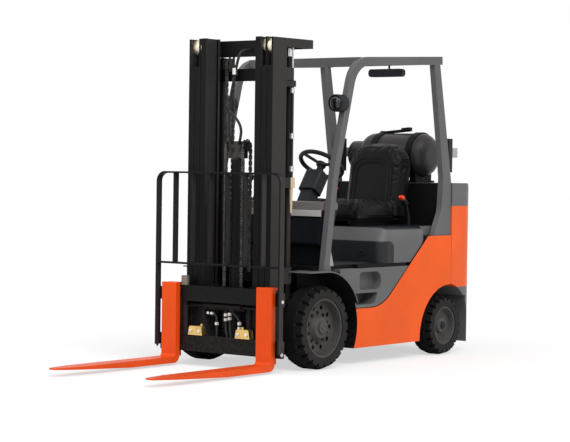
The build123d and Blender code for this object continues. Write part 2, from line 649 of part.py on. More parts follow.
def pan(outline, y, wall):
    """Pressed panel: an outer skin with edges turned in."""
    face = make_face(outline)
    skin = extrude(Plane.XZ.offset(-y[1]) * face, amount=y[1] - y[0])
    inside = offset(face, amount=-wall)
    return skin - extrude(Plane.XZ.offset(-y[1] + wall) * inside, amount=y[1] - y[0])


def side_sill():
    return pan(sill_outline(), (FRAME_Y, SIDE_Y), 14)


def step_panel():
    top = FLOOR_LOW
    low, high = sweep_edge()
    slope = (high[0] - low[0]) / (high[1] - low[1])
    corner = (low[0] + SEAM + slope * (top - low[1]), top)
    front_low = (arch_x(SILL_STEP + SEAM, SEAM), SILL_STEP + SEAM)
    front_high = (arch_x(590, SEAM), 590)
    front_top = (front_high[0], top)
    mid = (arch_x(480, SEAM), 480)
    edge = FilletPolyline(front_low, (low[0] + SEAM, SILL_STEP + SEAM), corner, radius=(330,))
    outline = [ThreePointArc(front_low, mid, front_high), Polyline(front_high, front_top, corner), edge]
    panel = pan(outline, (FRAME_Y, SIDE_Y - 3), 10)
    toe = FilletPolyline(
        (-395, 392), (-372, 468), (-640, 468), (-600, 392), radius=(20, 12, 12, 30), close=True
    )
    lining = side_plate(offset(make_face(toe), amount=8).edges(), (FRAME_Y + 40, SIDE_Y - 5))
    recess = FilletPolyline(
        (-430, 488), (-430, 606), (-700, 606), (-655, 488), radius=(24, 24, 60, 40), close=True
    )
    tray = side_plate(offset(make_face(recess), amount=8).edges(), (SIDE_Y - 70, SIDE_Y - 5))
    panel += lining + tray
    panel -= side_plate(toe, (FRAME_Y + 48, SIDE_Y + 1))
    return panel - side_plate(recess, (SIDE_Y - 62, SIDE_Y + 1))


def fender():
    radius = ARCH_R - SHEET / 2
    arch = CenterArc((ARCH_X, FRONT_TYRE_R), radius, 90, 66)
    path = Line((150, FRONT_TYRE_R + radius), (ARCH_X, FRONT_TYRE_R + radius)) + arch
    guard = side_plate(trace(path, SHEET).edges(), (FRAME_Y, SIDE_Y + 28))
    return guard - block((30, 200), (0, MAST_HALF_W + 6), (ARCH_TOP - 20, ARCH_TOP + 1))


def floor_plate():
    z = (FLOOR_LOW, FLOOR_TOP)
    plate = block((HOOD_FRONT, 0), (-440, 440), z) + block((HOOD_FRONT, -420), (-486, 486), z)
    return plate + both(block((-985, HOOD_FRONT), (310, 486), z))


def pedals():
    plates = Part()
    for y, width in ((-250, 70), (-120, 110), (140, 90)):
        plates += Pos(-235, y, FLOOR_TOP + 75) * Rot(0, -50, 0) * Box(110, width, 12)
        plates += block((-216, -204), (y - 10, y + 10), (FLOOR_TOP, FLOOR_TOP + 98))
    return plates


def front_cowl():
    """Dash: a wall set back at its foot, a lip across the front and a shelf that curves down at the rear."""
    side = FilletPolyline(
        (-120, FLOOR_TOP), (-120, DASH_TOP - 290), (-46, DASH_TOP - 275), (-86, DASH_TOP - 97),
        (-74, DASH_TOP - 95), (-74, DASH_TOP - 54), (-104, DASH_TOP), (-266, DASH_TOP),
        (-215, DASH_TOP - 150), (-150, DASH_TOP - 290), (-150, FLOOR_TOP),
        radius=(0, 10, 16, 2, 5, 8, 20, 26, 50, 40, 0), close=True,
    )
    return side_plate(side, (-440, 440))


def column_point(down):
    """Point on the steering axis, at a distance down from the wheel's hub, in the side view."""
    tilt = radians(STEER_TILT)
    return STEER_HUB[0] + down * sin(tilt), STEER_HUB[1] - down * cos(tilt)


def steering_column():
    """Column bent up from the floor to the steering axis, with a broad moulded cover under the wheel."""
    path = FilletPolyline((-330, FLOOR_TOP - 40), (-330, 780), column_point(150), radius=200)
    stem = side_plate(trace(path, 84).edges(), (-46, 46)) - block((-500, 0), (-50, 50), (0, FLOOR_TOP))
    cover = Pos(0, 0, -148) * Box(108, 144, 160)
    cover = fillet(cover.edges().filter_by(Axis.Z), 28)
    cover = chamfer(cover.edges().group_by(Axis.Z)[-1], 12)
    shaft = Pos(0, 0, -44) * Cylinder(20, 60)
    return stem + steering_plane() * cover + steering_plane() * shaft


def steering_plane():
    """Plane of the steering wheel, its normal up the column."""
    tilt = radians(STEER_TILT)
    up = (-sin(tilt), 0, cos(tilt))
    return Plane(origin=(STEER_HUB[0], 0, STEER_HUB[1]), x_dir=(cos(tilt), 0, sin(tilt)), z_dir=up)


def steering_wheel():
    wheel = Torus(STEER_R - 15, 15) + Pos(0, 0, -2) * Cylinder(34, 24)
    for angle in (90, 210, 330):
        wheel += Rot(0, 0, angle) * Pos(STEER_R / 2 - 5, 0, 0) * Box(STEER_R - 20, 22, 12)
    return steering_plane() * wheel


def lever(x, y, lean, length, grip):
    """Lever standing on the dash, with a chamfered grip at its end."""
    knob = Pos(0, 0, length) * chamfer(Cylinder(grip, 40).edges(), 6)
    stick = Pos(0, 0, length / 2) * Cylinder(7, length) + knob
    return Pos(x, y, DASH_TOP) * Rot(0, -lean, 0) * stick


def control_levers():
    sticks = Part() + [lever(-205, y, 8, 150, 16) for y in (-150, -205, -260)]
    sticks += lever(-225, 400, 32, 84, 17)
    return sticks - block((-600, 0), (-440, 440), (FLOOR_TOP, DASH_TOP))


def hood():
    slope = sweep_edge()
    run = (slope[1][0] - slope[0][0]) / (slope[1][1] - slope[0][1])
    low = (slope[0][0] + SEAM + run * (FLOOR_TOP - slope[0][1]), FLOOR_TOP)
    high = (slope[1][0] + SEAM, SILL_TOP)
    outer = hood_block(low, high, 0)
    inner = hood_block((low[0], low[1] - 40), high, SHEET)
    return outer - inner


def hood_block(low, high, wall):
    """Solid under the hood's skin, set in by a wall thickness."""
    top = HOOD_TOP - wall
    front = HOOD_FRONT - wall
    back = HOOD_BACK + wall
    side = FilletPolyline(
        (front, low[1]), low, (high[0] + wall, high[1]), (high[0] + wall, top),
        (front - 60, top), (front, 800),
        radius=(0, 0, 0, 20, 20, 30), close=True,
    )
    half = SIDE_Y - 8 - wall
    main = side_plate(side, (-half, half))
    corners = main.edges().filter_by(lambda e: e.center().X > front - 1 and abs(e.center().Y) > half - 1)
    main = fillet(corners.sort_by(Axis.Z)[:2], 70)
    deck = block((back, high[0] + 20), (-436 + wall, 436 - wall), (SILL_TOP + 2 - wall, top))
    return main + deck


def radiator_cover():
    return block((SEAM_X + 3, HOOD_BACK - SEAM), (-436, 436), (SILL_TOP, CW_TOP - 4))


def seat_base():
    runner = block((SEAT_X + 90, SEAT_X + 470), (150, 190), (HOOD_TOP, SEAT_PAN))
    return both(runner) + block((SEAT_X - 75, SEAT_X + 480), (-215, 215), (SEAT_PAN - 16, SEAT_PAN))


def seat_cushion():
    pad = block((SEAT_X + 55, SEAT_X + 500), (-245, 245), (SEAT_PAN, SEAT_PAN + 119))
    return fillet(pad.edges().filter_by(Axis.Z) + pad.edges().group_by(Axis.Z)[-1], 40)


def seat_back():
    pad = block((-70, 50), (-245, 245), (-40, 530))
    pad = fillet(pad.edges().filter_by(Axis.X).group_by(Axis.Z)[-1], 170)
    pad = fillet(pad.edges().group_by(Axis.Z)[-1], 30)
    pad = Pos(SEAT_X, 0, SEAT_PAN) * Rot(0, -8, 0) * pad
    return pad - block((SEAT_X - 300, SEAT_X + 500), (-300, 300), (800, SEAT_PAN))


def counterweight():
    back = TRUCK_REAR
    plan = FilletPolyline(
        (CW_FRONT, -SIDE_Y), (back, -SIDE_Y), (back, SIDE_Y), (CW_FRONT, SIDE_Y),
        radius=(0, CW_CORNER, CW_CORNER, 0), close=True,
    )
    mass = Pos(0, 0, CW_LOW) * extrude(make_face(plan), amount=CW_TOP - CW_LOW)
    side = FilletPolyline(
        (SEAM_X + 10, CW_LOW), (TRUCK_REAR + 60, CW_LOW), (TRUCK_REAR, 300), (TRUCK_REAR, 520),
        (TRUCK_REAR + 70, CW_TOP), (SEAM_X + 10, CW_TOP), radius=(0, 40, 100, 200, 60, 0), close=True,
    )
    mass &= side_plate(side, (-SIDE_Y - 1, SIDE_Y + 1))
    well = bar_y(265, -WHEELBASE - 60, 225, (140, SIDE_Y + 1))
    well += block((-WHEELBASE - 325, SEAM_X + 1), (140, SIDE_Y + 1), (0, 226))
    well += block((-WHEELBASE - 292, SEAM_X + 1), (140, SIDE_Y + 1), (0, 400))
    mass -= both(well)
    duct = block((TRUCK_REAR - 1, TRUCK_REAR + 190), (-210, 210), (640, 930))
    for k in range(6):
        duct -= Pos(TRUCK_REAR + 90, 0, 672 + 46 * k) * Rot(0, -25, 0) * Box(60, 440, 8)
    mass -= duct
    mass -= block((TRUCK_REAR - 1, TOW_X + 55), (-60, 60), (430, 520))
    return mass - post(TOW_R, TOW_X, 0, (0, 641))


def roof_z(x):
    """Height of the middle of the roof beams, which rise towards the rear."""
    share = (x - ROOF_FRONT[0]) / (SEAM_X + 133 - ROOF_FRONT[0])
    return ROOF_FRONT[1] + share * (ROOF_REAR_Z - ROOF_FRONT[1])


def guard_frame():
    """One side of the guard: a bent front pillar and roof beam, a gusset and a splayed rear leg."""
    path = FilletPolyline(
        (-62, 560), (-160, 1246), ROOF_FRONT, (SEAM_X + 133, ROOF_REAR_Z), radius=(700, GUARD_BEND)
    )
    y = (GUARD_Y - GUARD_W / 2, GUARD_Y + GUARD_W / 2)
    frame = side_plate(trace(path, GUARD_H).edges(), y)
    frame += side_plate(Polyline((-70, 580), (-160, 580), (-90, 750), close=True), (GUARD_Y - 8, GUARD_Y + 8))
    leg = FilletPolyline(
        (SEAM_X + 232, 2000), (SEAM_X + 103, 1230), (SEAM_X + 118, 1000), (SEAM_X + 208, SILL_TOP),
        (SEAM_X - 17, SILL_TOP), (SEAM_X + 3, 1212), (SEAM_X + 166, 2030),
        radius=(0, 250, 140, 0, 20, 200, 0), close=True,
    )
    frame += side_plate(leg, y)
    frame -= block((ARCH_X, 100), (0, 600), (0, ARCH_TOP)) + bar_y(ARCH_R, ARCH_X, FRONT_TYRE_R, (0, 600))
    return frame - block((SEAM_X - 90, SEAM_X), (0, 600), (0, CW_TOP + 1))


def roof_bar(x, y, half):
    """Bar of the roof along its slope, between two x and two y values."""
    low, high = roof_z(x[0]), roof_z(x[1])
    outline = Polyline(
        (x[0], low - half), (x[0], low + half), (x[1], high + half), (x[1], high - half), close=True
    )
    return side_plate(outline, y)


def guard_roof():
    inside = GUARD_Y - GUARD_W / 2
    roof = roof_bar((-475, -420), (-inside, inside), 28)
    roof += roof_bar((SEAM_X + 148, SEAM_X + 198), (-inside, inside), 26)
    pitch = 2 * inside / (ROOF_BARS + 1)
    for k in range(1, ROOF_BARS + 1):
        y = -inside + k * pitch
        roof += roof_bar((SEAM_X + 178, -450), (y - 6, y + 6), ROOF_BAR_HALF)
    return roof


def head_lamps():
    z = 1705
    y = GUARD_Y - 6
    lamp = bar_x(57, y, z, (-240, -180)) + Pos(-240, y, z) * Sphere(57)
    return both(lamp - guard_frame())


def rear_lamps():
    y = GUARD_Y - 5
    lamp = block((SEAM_X - 27, SEAM_X + 18), (y - 30, y + 15), (1265, 1500)) - guard_frame()
    return both(lamp)


def mirror_piece():
    """Broad mirror shell hung from a roof bar."""
    y = (GUARD_Y - GUARD_W / 2) * (1 - 2 / (ROOF_BARS + 1))
    top = roof_z(MIRROR_X) - ROOF_BAR_HALF
    shell = Pos(MIRROR_X, y - 20, top - 62) * fillet(Box(40, 280, 54).edges().filter_by(Axis.X), 22)
    return shell + block((MIRROR_X - 5, MIRROR_X + 5), (y - 5, y + 5), (top - 40, top))


def gas_tank():
    outline = FilletPolyline(
        (0, TANK_RIGHT), (TANK_R, TANK_RIGHT), (TANK_R, TANK_LEFT), (0, TANK_LEFT),
        radius=(0, 90, 90, 0), close=True,
    )
    tank = turned(outline, TANK_X, 0, TANK_Z)
    collar = bar_y(100, TANK_X, TANK_Z, (TANK_RIGHT - 100, TANK_RIGHT + 10))
    collar -= bar_y(94, TANK_X, TANK_Z, (TANK_RIGHT - 101, TANK_RIGHT))
    return tank + collar


def tank_cradle():
    cradle = block((TANK_X - 120, TANK_X + 105), (-240, 190), (CW_TOP, CW_TOP + 14))
    for y in (-190, 120):
        cradle += block((TANK_X - 110, TANK_X + 95), (y, y + 50), (CW_TOP, TANK_Z - 100))
        cradle += bar_y(TANK_R + 8, TANK_X, TANK_Z, (y, y + 50))
    return cradle - bar_y(TANK_R, TANK_X, TANK_Z, (TANK_RIGHT - 10, TANK_LEFT + 10))


def engine():
    lower = block((FRAME_REAR + FRAME_T, -520), (-260, 260), (190, 560))
    return lower + block((FRAME_REAR + 90, -760), (-220, 220), (550, 840))


NODES = {
    "main_frame": main_frame(),
    "side_sills": both(side_sill()),
    "step_panels": both(step_panel()),
    "front_fenders": both(fender()),
    "floor_plate": floor_plate(),
    "pedals": pedals(),
    "front_cowl": front_cowl(),
    "steering_column": steering_column(),
    "control_levers": control_levers(),
    "hood": hood(),
    "radiator_cover": radiator_cover(),
    "seat_base": seat_base(),
    "seat_cushion": seat_cushion(),
    "seat_back": seat_back(),
    "counterweight": counterweight(),
    "guard_left": guard_frame(),
    "guard_right": mirrored(guard_frame()),
    "guard_roof": guard_roof(),
    "head_lamps": head_lamps(),
    "rear_lamps": rear_lamps(),
    "mirror": mirror_piece(),
    "gas_tank": gas_tank(),
    "tank_cradle": tank_cradle(),
    "engine": engine(),
    "drive_axle": drive_axle(),
    "steer_axle": steer_axle(),
    "steering_wheel": steering_wheel(),
    "disc_front_left": front_disc(),
    "disc_front_right": mirrored(front_disc()),
    "tyre_front_left": front_tyre(),
    "tyre_front_right": mirrored(front_tyre()),
    "knuckle_left": knuckle(),
    "knuckle_right": mirrored(knuckle()),
    "disc_rear_left": rear_disc(),
    "disc_rear_right": mirrored(rear_disc()),
    "tyre_rear_left": rear_tyre(),
    "tyre_rear_right": mirrored(rear_tyre()),
    "mast_outer": mast_outer(),
    "outer_rollers": rollers(OUTER_Y, MAST_TOP - 56),
    "lift_barrels": lift_barrels(),
    "mast_hose": mast_hose(),
    "mast_middle": mast_middle(),
    "middle_rollers": middle_rollers(),
    "lift_rods": lift_rods(),
    "stage_chain_front": stage_chain_front(),
    "stage_chain_rear": stage_chain_rear(),
    "mast_inner": mast_inner(),
    "free_barrel": free_barrel(),
    "crosshead": crosshead(),
    "lift_chain_front": lift_chain_front(),
    "lift_chain_rear": lift_chain_rear(),
    "carriage": carriage(),
    "side_shifter": side_shifter(),
    "lower_hooks": lower_hooks(),
    "backrest": backrest(),
    "fork_left": fork(),
    "fork_right": mirrored(fork()),
    "tilt_barrels": both(tilt_barrel()),
    "tilt_rods": both(tilt_rod()),
}

for name, shape in NODES.items():
    export_step(Pos(CENTRE_SHIFT, 0, 0) * shape, f"parts/{name}.step")
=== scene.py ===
# %% [markdown]
# # A gas forklift, dressed for the studio
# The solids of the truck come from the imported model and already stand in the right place, in metres: +X
# points along the forks, +Y to the truck's left and +Z up. This lesson gives them their finishes and adds
# what a solid model leaves out: chain links, padded vinyl, lenses, nuts, bolts and hoses.

# %% Load the frame
import math

import bpy
from mathutils import Matrix, Vector


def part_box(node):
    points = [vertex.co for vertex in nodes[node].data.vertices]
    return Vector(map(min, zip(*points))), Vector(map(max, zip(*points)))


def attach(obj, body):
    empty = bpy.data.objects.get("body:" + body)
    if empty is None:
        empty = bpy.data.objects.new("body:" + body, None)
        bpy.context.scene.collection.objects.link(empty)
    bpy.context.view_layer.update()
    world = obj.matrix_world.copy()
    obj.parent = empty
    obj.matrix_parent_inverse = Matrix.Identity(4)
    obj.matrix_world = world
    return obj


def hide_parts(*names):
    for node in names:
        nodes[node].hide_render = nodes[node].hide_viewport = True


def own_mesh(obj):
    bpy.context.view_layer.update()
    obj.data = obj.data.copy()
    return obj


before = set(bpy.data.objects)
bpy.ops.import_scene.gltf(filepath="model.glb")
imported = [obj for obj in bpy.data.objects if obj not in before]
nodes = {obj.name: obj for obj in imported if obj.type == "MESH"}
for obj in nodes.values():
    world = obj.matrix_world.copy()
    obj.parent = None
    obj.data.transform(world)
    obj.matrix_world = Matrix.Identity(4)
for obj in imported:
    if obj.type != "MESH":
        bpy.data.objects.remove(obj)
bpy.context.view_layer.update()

# %% [markdown]
# ## Camera
# The photograph was taken with a long lens from well in front, a little above the steering wheel's
# height, so upright edges stay nearly parallel. The place, the aim and the focal length were solved from
# points on the truck whose real positions are known. A camera looks along its own -Z, so its matrix is
# made of the picture's right, up and backward directions.

# %% Camera
IMAGE_WIDTH = 570
FOCAL_PIXELS = 1948.13
SENSOR = 36.0
CAMERA_PLACE = Vector((10.0999, 7.9126, 1.3059))
YAW, TIP, ROLL = (math.radians(angle) for angle in (-142.2066, -1.6675, 0.7811))

aim = Vector((math.cos(YAW) * math.cos(TIP), math.sin(YAW) * math.cos(TIP), math.sin(TIP)))
level_right = Vector((math.sin(YAW), -math.cos(YAW), 0))
level_up = level_right.cross(aim)
right = math.cos(ROLL) * level_right + math.sin(ROLL) * level_up
up = -math.sin(ROLL) * level_right + math.cos(ROLL) * level_up

camera_data = bpy.data.cameras.new("camera")
camera_data.sensor_width = SENSOR
camera_data.lens = SENSOR * FOCAL_PIXELS / IMAGE_WIDTH
camera = bpy.data.objects.new("camera", camera_data)
bpy.context.scene.collection.objects.link(camera)
camera.matrix_world = Matrix.Translation(CAMERA_PLACE) @ Matrix((right, up, -aim)).transposed().to_4x4()
bpy.context.scene.camera = camera
print("lens", round(camera_data.lens, 1), "mm")

# %% [markdown]
# ## Writing materials as sums
# A shader is a graph of nodes, and a graph is hard to read in code. Here a socket is wrapped in a small
# class, so that `1 - mask * 0.3` adds the Math nodes by itself. Every other node comes from one method,
# which sets the node's own settings first and then its sockets, from plain values or from other sockets.

# %% Sockets that can be added and multiplied
class Value:
    """An output socket that takes part in Python sums."""

    def __init__(self, finish, socket):
        self.finish = finish
        self.socket = socket

    def math(self, operation, first, second):
        return self.finish.node("Math", {"operation": operation}, {0: first, 1: second})

    def __add__(self, other):
        return self.math("ADD", self, other)

    def __sub__(self, other):
        return self.math("SUBTRACT", self, other)

    def __rsub__(self, other):
        return self.math("SUBTRACT", other, self)

    def __mul__(self, other):
        return self.math("MULTIPLY", self, other)

    def most(self, other):
        return self.math("MAXIMUM", self, other)

    def root(self):
        return self.finish.node("Math", {"operation": "SQRT"}, {0: self})

    __radd__ = __add__
    __rmul__ = __mul__


print("sockets can be summed")

# %% A material in the making
LINE_SOFTNESS = 0.0015


class Finish:
    """A material in the making, with its one Principled shader."""

    def __init__(self, name, **constants):
        self.material = bpy.data.materials.new(name)
        self.material.use_nodes = True
        self.nodes = self.material.node_tree.nodes
        self.links = self.material.node_tree.links
        self.shader = self.nodes["Principled BSDF"]
        for socket, value in constants.items():
            self.feed(self.shader.inputs[socket.replace("_", " ")], value)

    def feed(self, socket, value):
        if isinstance(value, Value):
            self.links.new(value.socket, socket)
        elif socket.type == "RGBA" and len(value) == 3:
            socket.default_value = (*value, 1)
        else:
            socket.default_value = value

    def node(self, kind, settings, sockets, output=0):
        made = self.nodes.new("ShaderNode" + kind)
        for name, value in settings.items():
            setattr(made, name, value)
        for key, value in sockets.items():
            self.feed(made.inputs[key], value)
        return Value(self, made.outputs[output])

    def set(self, socket, value):
        self.feed(self.shader.inputs[socket], value)

    def place(self):
        return self.node("TexCoord", {}, {}, "Object")

    def along(self, axis):
        """How far a point lies along an axis of the truck, in metres."""
        return self.node("SeparateXYZ", {}, {0: self.place()}, axis)

    def normal(self, axis):
        """How far the surface's normal points along an axis."""
        return self.node("SeparateXYZ", {}, {0: self.node("TexCoord", {}, {}, "Normal")}, axis)

    def facing(self, axis):
        """1 where the surface looks along an axis, either way, and 0 where it looks across it."""
        part = self.normal(axis)
        return self.between(part * part, 0.4, 0.8)

    def noise(self, scale, detail=3.0, stretch=(1, 1, 1)):
        spread = self.node("VectorMath", {"operation": "MULTIPLY"}, {0: self.place(), 1: stretch})
        return self.node("TexNoise", {}, {"Vector": spread, "Scale": scale, "Detail": detail})

    def between(self, value, low, high):
        """0 below low, 1 above high, and a smooth step between."""
        limits = {"Value": value, "From Min": low, "From Max": high}
        return self.node("MapRange", {"interpolation_type": "SMOOTHSTEP"}, limits)

    def step(self, value, level, softness=LINE_SOFTNESS):
        """0 below a level and 1 above it, with a narrow soft edge."""
        return self.between(value, level - softness, level + softness)

    def waves(self, scale):
        """Even bands up the truck."""
        return self.node("TexWave", {"bands_direction": "Z"}, {"Vector": self.place(), "Scale": scale})

    def mix(self, factor, below, above, blend="MIX"):
        """One colour where the factor is 0 and another, or its blend, where it is 1."""
        settings = {"data_type": "RGBA", "blend_type": blend}
        return self.node("Mix", settings, {0: factor, 6: below, 7: above}, 2)

    def edges(self, radius):
        """1 along sharp edges, found where a rounded normal leaves the true one."""
        rounded = self.node("Bevel", {"samples": 4}, {"Radius": radius})
        flat = self.node("NewGeometry", {}, {}, "Normal")
        match = self.node("VectorMath", {"operation": "DOT_PRODUCT"}, {0: rounded, 1: flat}, "Value")
        return 1 - self.between(match, 0.8, 0.98)

    def relief(self, height, strength, depth, rounding=0.002):
        """Bump from a height value over edges that are rounded a little, as every real edge is."""
        soft = self.node("Bevel", {"samples": 4}, {"Radius": rounding})
        sockets = {"Height": height, "Strength": strength, "Distance": depth, "Normal": soft}
        self.set("Normal", self.node("Bump", {}, sockets))


print("shader helpers ready")

# %% [markdown]
# ## Paint
# A lift truck is sprayed in a few coats: bright orange on the body, satin charcoal on the guard and the
# hood, black on the mast and the frame. Sprayed paint is never quite even: it has a fine ripple, a slow
# drift in tone, dust low down and a paler line where edges have rubbed. All four are in one function, and
# each coat only names its colours and amounts. Two coats are masks of two colours with painted light in
# them: the mast's sides that face across the truck are painted a lighter grey, a painted sheen, while its
# front and back faces are black, and the sills are orange outside but painted black, as painted shade,
# towards the wheel arches.

# %% Sprayed coats
DUST = (0.28, 0.25, 0.22)


def spray(finish, colour, roughness, rubbed, wear, dust, grain=420.0, depth=0.0006):
    """Feed a finish with a coat of paint over a colour, given as numbers or as a mix."""
    drift = finish.between(finish.noise(3.0), 0.3, 0.7)
    tone = finish.mix(1 - drift, colour, (0.88, 0.88, 0.88), "MULTIPLY")
    grit = finish.between(finish.noise(60.0, 6.0), 0.35, 0.75)
    low = 1 - finish.between(finish.along("Z"), 0.05, 0.6)
    dusty = finish.mix(low * grit * dust, tone, DUST)
    worn = finish.edges(0.004) * finish.between(finish.noise(25.0, 5.0), 0.45, 0.65)
    finish.set("Base Color", finish.mix(worn * wear, dusty, rubbed))
    finish.set("Roughness", roughness + 0.08 * grit + 0.15 * low * dust)
    finish.relief(finish.noise(grain, 2.0), 0.08, depth)
    return finish


def sprayed(name, colour, roughness, rubbed, wear, dust, gloss=0.3, coat=0.0):
    finish = Finish(name, Specular_IOR_Level=gloss, Coat_Weight=coat, Coat_Roughness=0.08)
    return spray(finish, colour, roughness, rubbed, wear, dust)


print("spray ready")

# %% The coats of this truck
ORANGE = (0.80, 0.096, 0.003)
CHARCOAL = (0.107, 0.107, 0.11)
BLACK = (0.0036, 0.0036, 0.0038)
SHADE_NAVY = (0.0045, 0.006, 0.009)
BARE_STEEL = (0.32, 0.30, 0.28)
WHEEL_GREY = (0.062, 0.059, 0.056)
RUBBED_GREY = (0.24, 0.24, 0.245)
RUBBED_WHEEL = (0.2, 0.19, 0.185)

orange_body = Finish("orange_body", Specular_IOR_Level=0.15, Coat_Weight=0.04, Coat_Roughness=0.08)
# Faces that don't look sideways, towards the wheel arches, are painted black: painted shade.
sill_tone_with_painted_shade = orange_body.mix(orange_body.facing("Y"), BLACK, ORANGE)
spray(orange_body, sill_tone_with_painted_shade, 0.34, (0.9, 0.22, 0.07), 0.12, 0.05)
orange_fork = sprayed("orange_fork", (0.74, 0.07, 0.003), 0.38, (0.7, 0.18, 0.08), 0.3, 0.04, 0.15, 0.03)
charcoal = sprayed("charcoal", CHARCOAL, 0.45, RUBBED_GREY, 0.35, 0.05, 0.25)
black_frame = sprayed("black_frame", BLACK, 0.55, BARE_STEEL, 0.1, 0.08, 0.12)
wheel_grey = sprayed("wheel_grey", WHEEL_GREY, 0.5, RUBBED_WHEEL, 0.4, 0.06, 0.15)
tank_paint = sprayed("tank_paint", (0.03, 0.027, 0.0272), 0.36, (0.1, 0.09, 0.09), 0.3, 0.05, 0.24)
signal_red = sprayed("signal_red", (0.75, 0.035, 0.06), 0.3, (0.8, 0.2, 0.2), 0.1, 0.0, 0.4)
buckle_orange = sprayed("buckle_orange", (0.9, 0.07, 0.012), 0.32, (0.9, 0.2, 0.1), 0.1, 0.0, 0.4)
leg_pale = sprayed("leg_pale", (0.34, 0.34, 0.33), 0.4, (0.4, 0.4, 0.4), 0.1, 0.0, 0.25)
cast_pale = sprayed("cast_pale", (0.2, 0.185, 0.15), 0.6, BARE_STEEL, 0.4, 0.1, 0.25)

black_mast = Finish("black_mast", Specular_IOR_Level=0.12)
# Faces that look sideways are painted a lighter grey: a painted sheen where light falls on black paint.
mast_tone_with_painted_sheen = black_mast.mix(black_mast.facing("Y"), BLACK, (0.034, 0.031, 0.03))
spray(black_mast, mast_tone_with_painted_sheen, 0.42, (0.1, 0.09, 0.085), 0.25, 0.05)
print("coats:", len(bpy.data.materials))

# %% [markdown]
# ## Two-tone castings and pressings, and painted shade
# The casting at the back is orange with charcoal above the shoulder line and below the bumper line. The
# line is a matter of height, so the mask reads the height of each point, with a sharp step. The hood's
# mask works the same way: its skin is charcoal, but painted shade makes a lower field with one rounded
# corner and the top under the seat nearly black. The dash has a pale lip between its dark hood and its
# wall. Painted shade also makes the front fenders black where they look towards the axle, and the walls
# of the holes in the front discs black too.

# %% Masks by place
SHOULDER_LINE = 1.030
BUMPER_LINE = 0.463
FIELD_TOP = 0.801
FIELD_CORNER = 0.055
FIELD_SHADE = 0.88
DECK_LINE = 0.874
LIP_LINE = 0.971
BROW_LINE = 1.014
ARCH_REACH = 0.41
HOLES_FROM = 0.112
HOLES_TO = 0.153
AXLE = sum(corner[0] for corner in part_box("tyre_front_left")) / 2
WHEEL_HEIGHT = sum(corner[2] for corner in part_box("tyre_front_left")) / 2
FIELD_BACK = AXLE - 0.827


def above(finish, axis, level):
    return finish.step(finish.along(axis), level)


counterweight_paint = Finish("counterweight_paint", Specular_IOR_Level=0.22, Coat_Weight=0.06,
                             Coat_Roughness=0.1)
over_shoulder = above(counterweight_paint, "Z", SHOULDER_LINE)
under_bumper = 1 - above(counterweight_paint, "Z", BUMPER_LINE)
two_tone = counterweight_paint.mix(over_shoulder + under_bumper, ORANGE, CHARCOAL)
spray(counterweight_paint, two_tone, 0.36, (0.6, 0.35, 0.25), 0.2, 0.05, grain=120.0, depth=0.0015)
print("two tones meet at", SHOULDER_LINE, "and", BUMPER_LINE)

# %% Hood
hood_paint_and_shade = Finish("hood_paint_and_shade", Specular_IOR_Level=0.22)
reach_up = hood_paint_and_shade.along("Z") - (FIELD_TOP - FIELD_CORNER)
reach_back = (FIELD_BACK + FIELD_CORNER) - hood_paint_and_shade.along("X")
over = reach_up.most(0.0)
past = reach_back.most(0.0)
outside = (over * over + past * past).root()
# The lower front field with one rounded corner is painted near-black navy: painted shade.
shaded_field = 1 - hood_paint_and_shade.step(outside, FIELD_CORNER)
# Upward faces above the deck line, under the seat, are painted near-black too: painted shade.
shaded_deck = above(hood_paint_and_shade, "Z", DECK_LINE) * hood_paint_and_shade.facing("Z")
painted_shade = (shaded_field * FIELD_SHADE).most(shaded_deck)
spray(hood_paint_and_shade, hood_paint_and_shade.mix(painted_shade, CHARCOAL, SHADE_NAVY), 0.45, RUBBED_GREY, 0.3, 0.03)
print("hood field up to", FIELD_TOP)

# %% Fenders and wheel discs
def distance_from_axle(finish):
    """How far a point lies behind and over the front axle, and how far in all."""
    behind = finish.along("X") - AXLE
    over_axle = finish.along("Z") - WHEEL_HEIGHT
    return behind, over_axle, (behind * behind + over_axle * over_axle).root()


arch_paint_and_shade = Finish("arch_paint_and_shade", Specular_IOR_Level=0.25)
behind, over_axle, from_axle = distance_from_axle(arch_paint_and_shade)
out_x = arch_paint_and_shade.normal("X") * behind
out_z = arch_paint_and_shade.normal("Z") * over_axle
# Faces that look towards the front axle, within reach of the arch, are painted black: painted shade.
clear_of_arch = arch_paint_and_shade.step(from_axle, ARCH_REACH, 0.01)
outer = arch_paint_and_shade.between(out_x + out_z + arch_paint_and_shade.facing("Y") + clear_of_arch, -0.02, 0.01)
spray(arch_paint_and_shade, arch_paint_and_shade.mix(outer, BLACK, CHARCOAL), 0.45, RUBBED_GREY, 0.35, 0.05)

disc_paint_and_shade = Finish("disc_paint_and_shade", Specular_IOR_Level=0.15)
turn_radius = distance_from_axle(disc_paint_and_shade)[2]
past_inner = disc_paint_and_shade.step(turn_radius, HOLES_FROM, 0.001)
past_outer = disc_paint_and_shade.step(turn_radius, HOLES_TO, 0.001)
# The walls of the holes are painted black: painted shade inside the holes.
hole_wall_painted_shade = past_inner * (1 - past_outer) * (1 - disc_paint_and_shade.facing("Y"))
spray(disc_paint_and_shade, disc_paint_and_shade.mix(hole_wall_painted_shade, WHEEL_GREY, BLACK), 0.5, RUBBED_WHEEL, 0.4, 0.06)
print("wheel centre at", round(WHEEL_HEIGHT, 4))

# %% Dash
dash_plastic = Finish("dash_plastic", Specular_IOR_Level=0.15)
lip = above(dash_plastic, "Z", LIP_LINE) * dash_plastic.facing("X")
brow = above(dash_plastic, "Z", BROW_LINE)
dash_tone = dash_plastic.mix(lip, (0.003, 0.0042, 0.0066), (0.5, 0.47, 0.465))
brow_tone = dash_plastic.mix(brow, dash_tone, (0.13, 0.118, 0.115))
spray(dash_plastic, brow_tone, 0.5, (0.1, 0.1, 0.1), 0.2, 0.0)
print("dash lip from", LIP_LINE, "to", BROW_LINE)

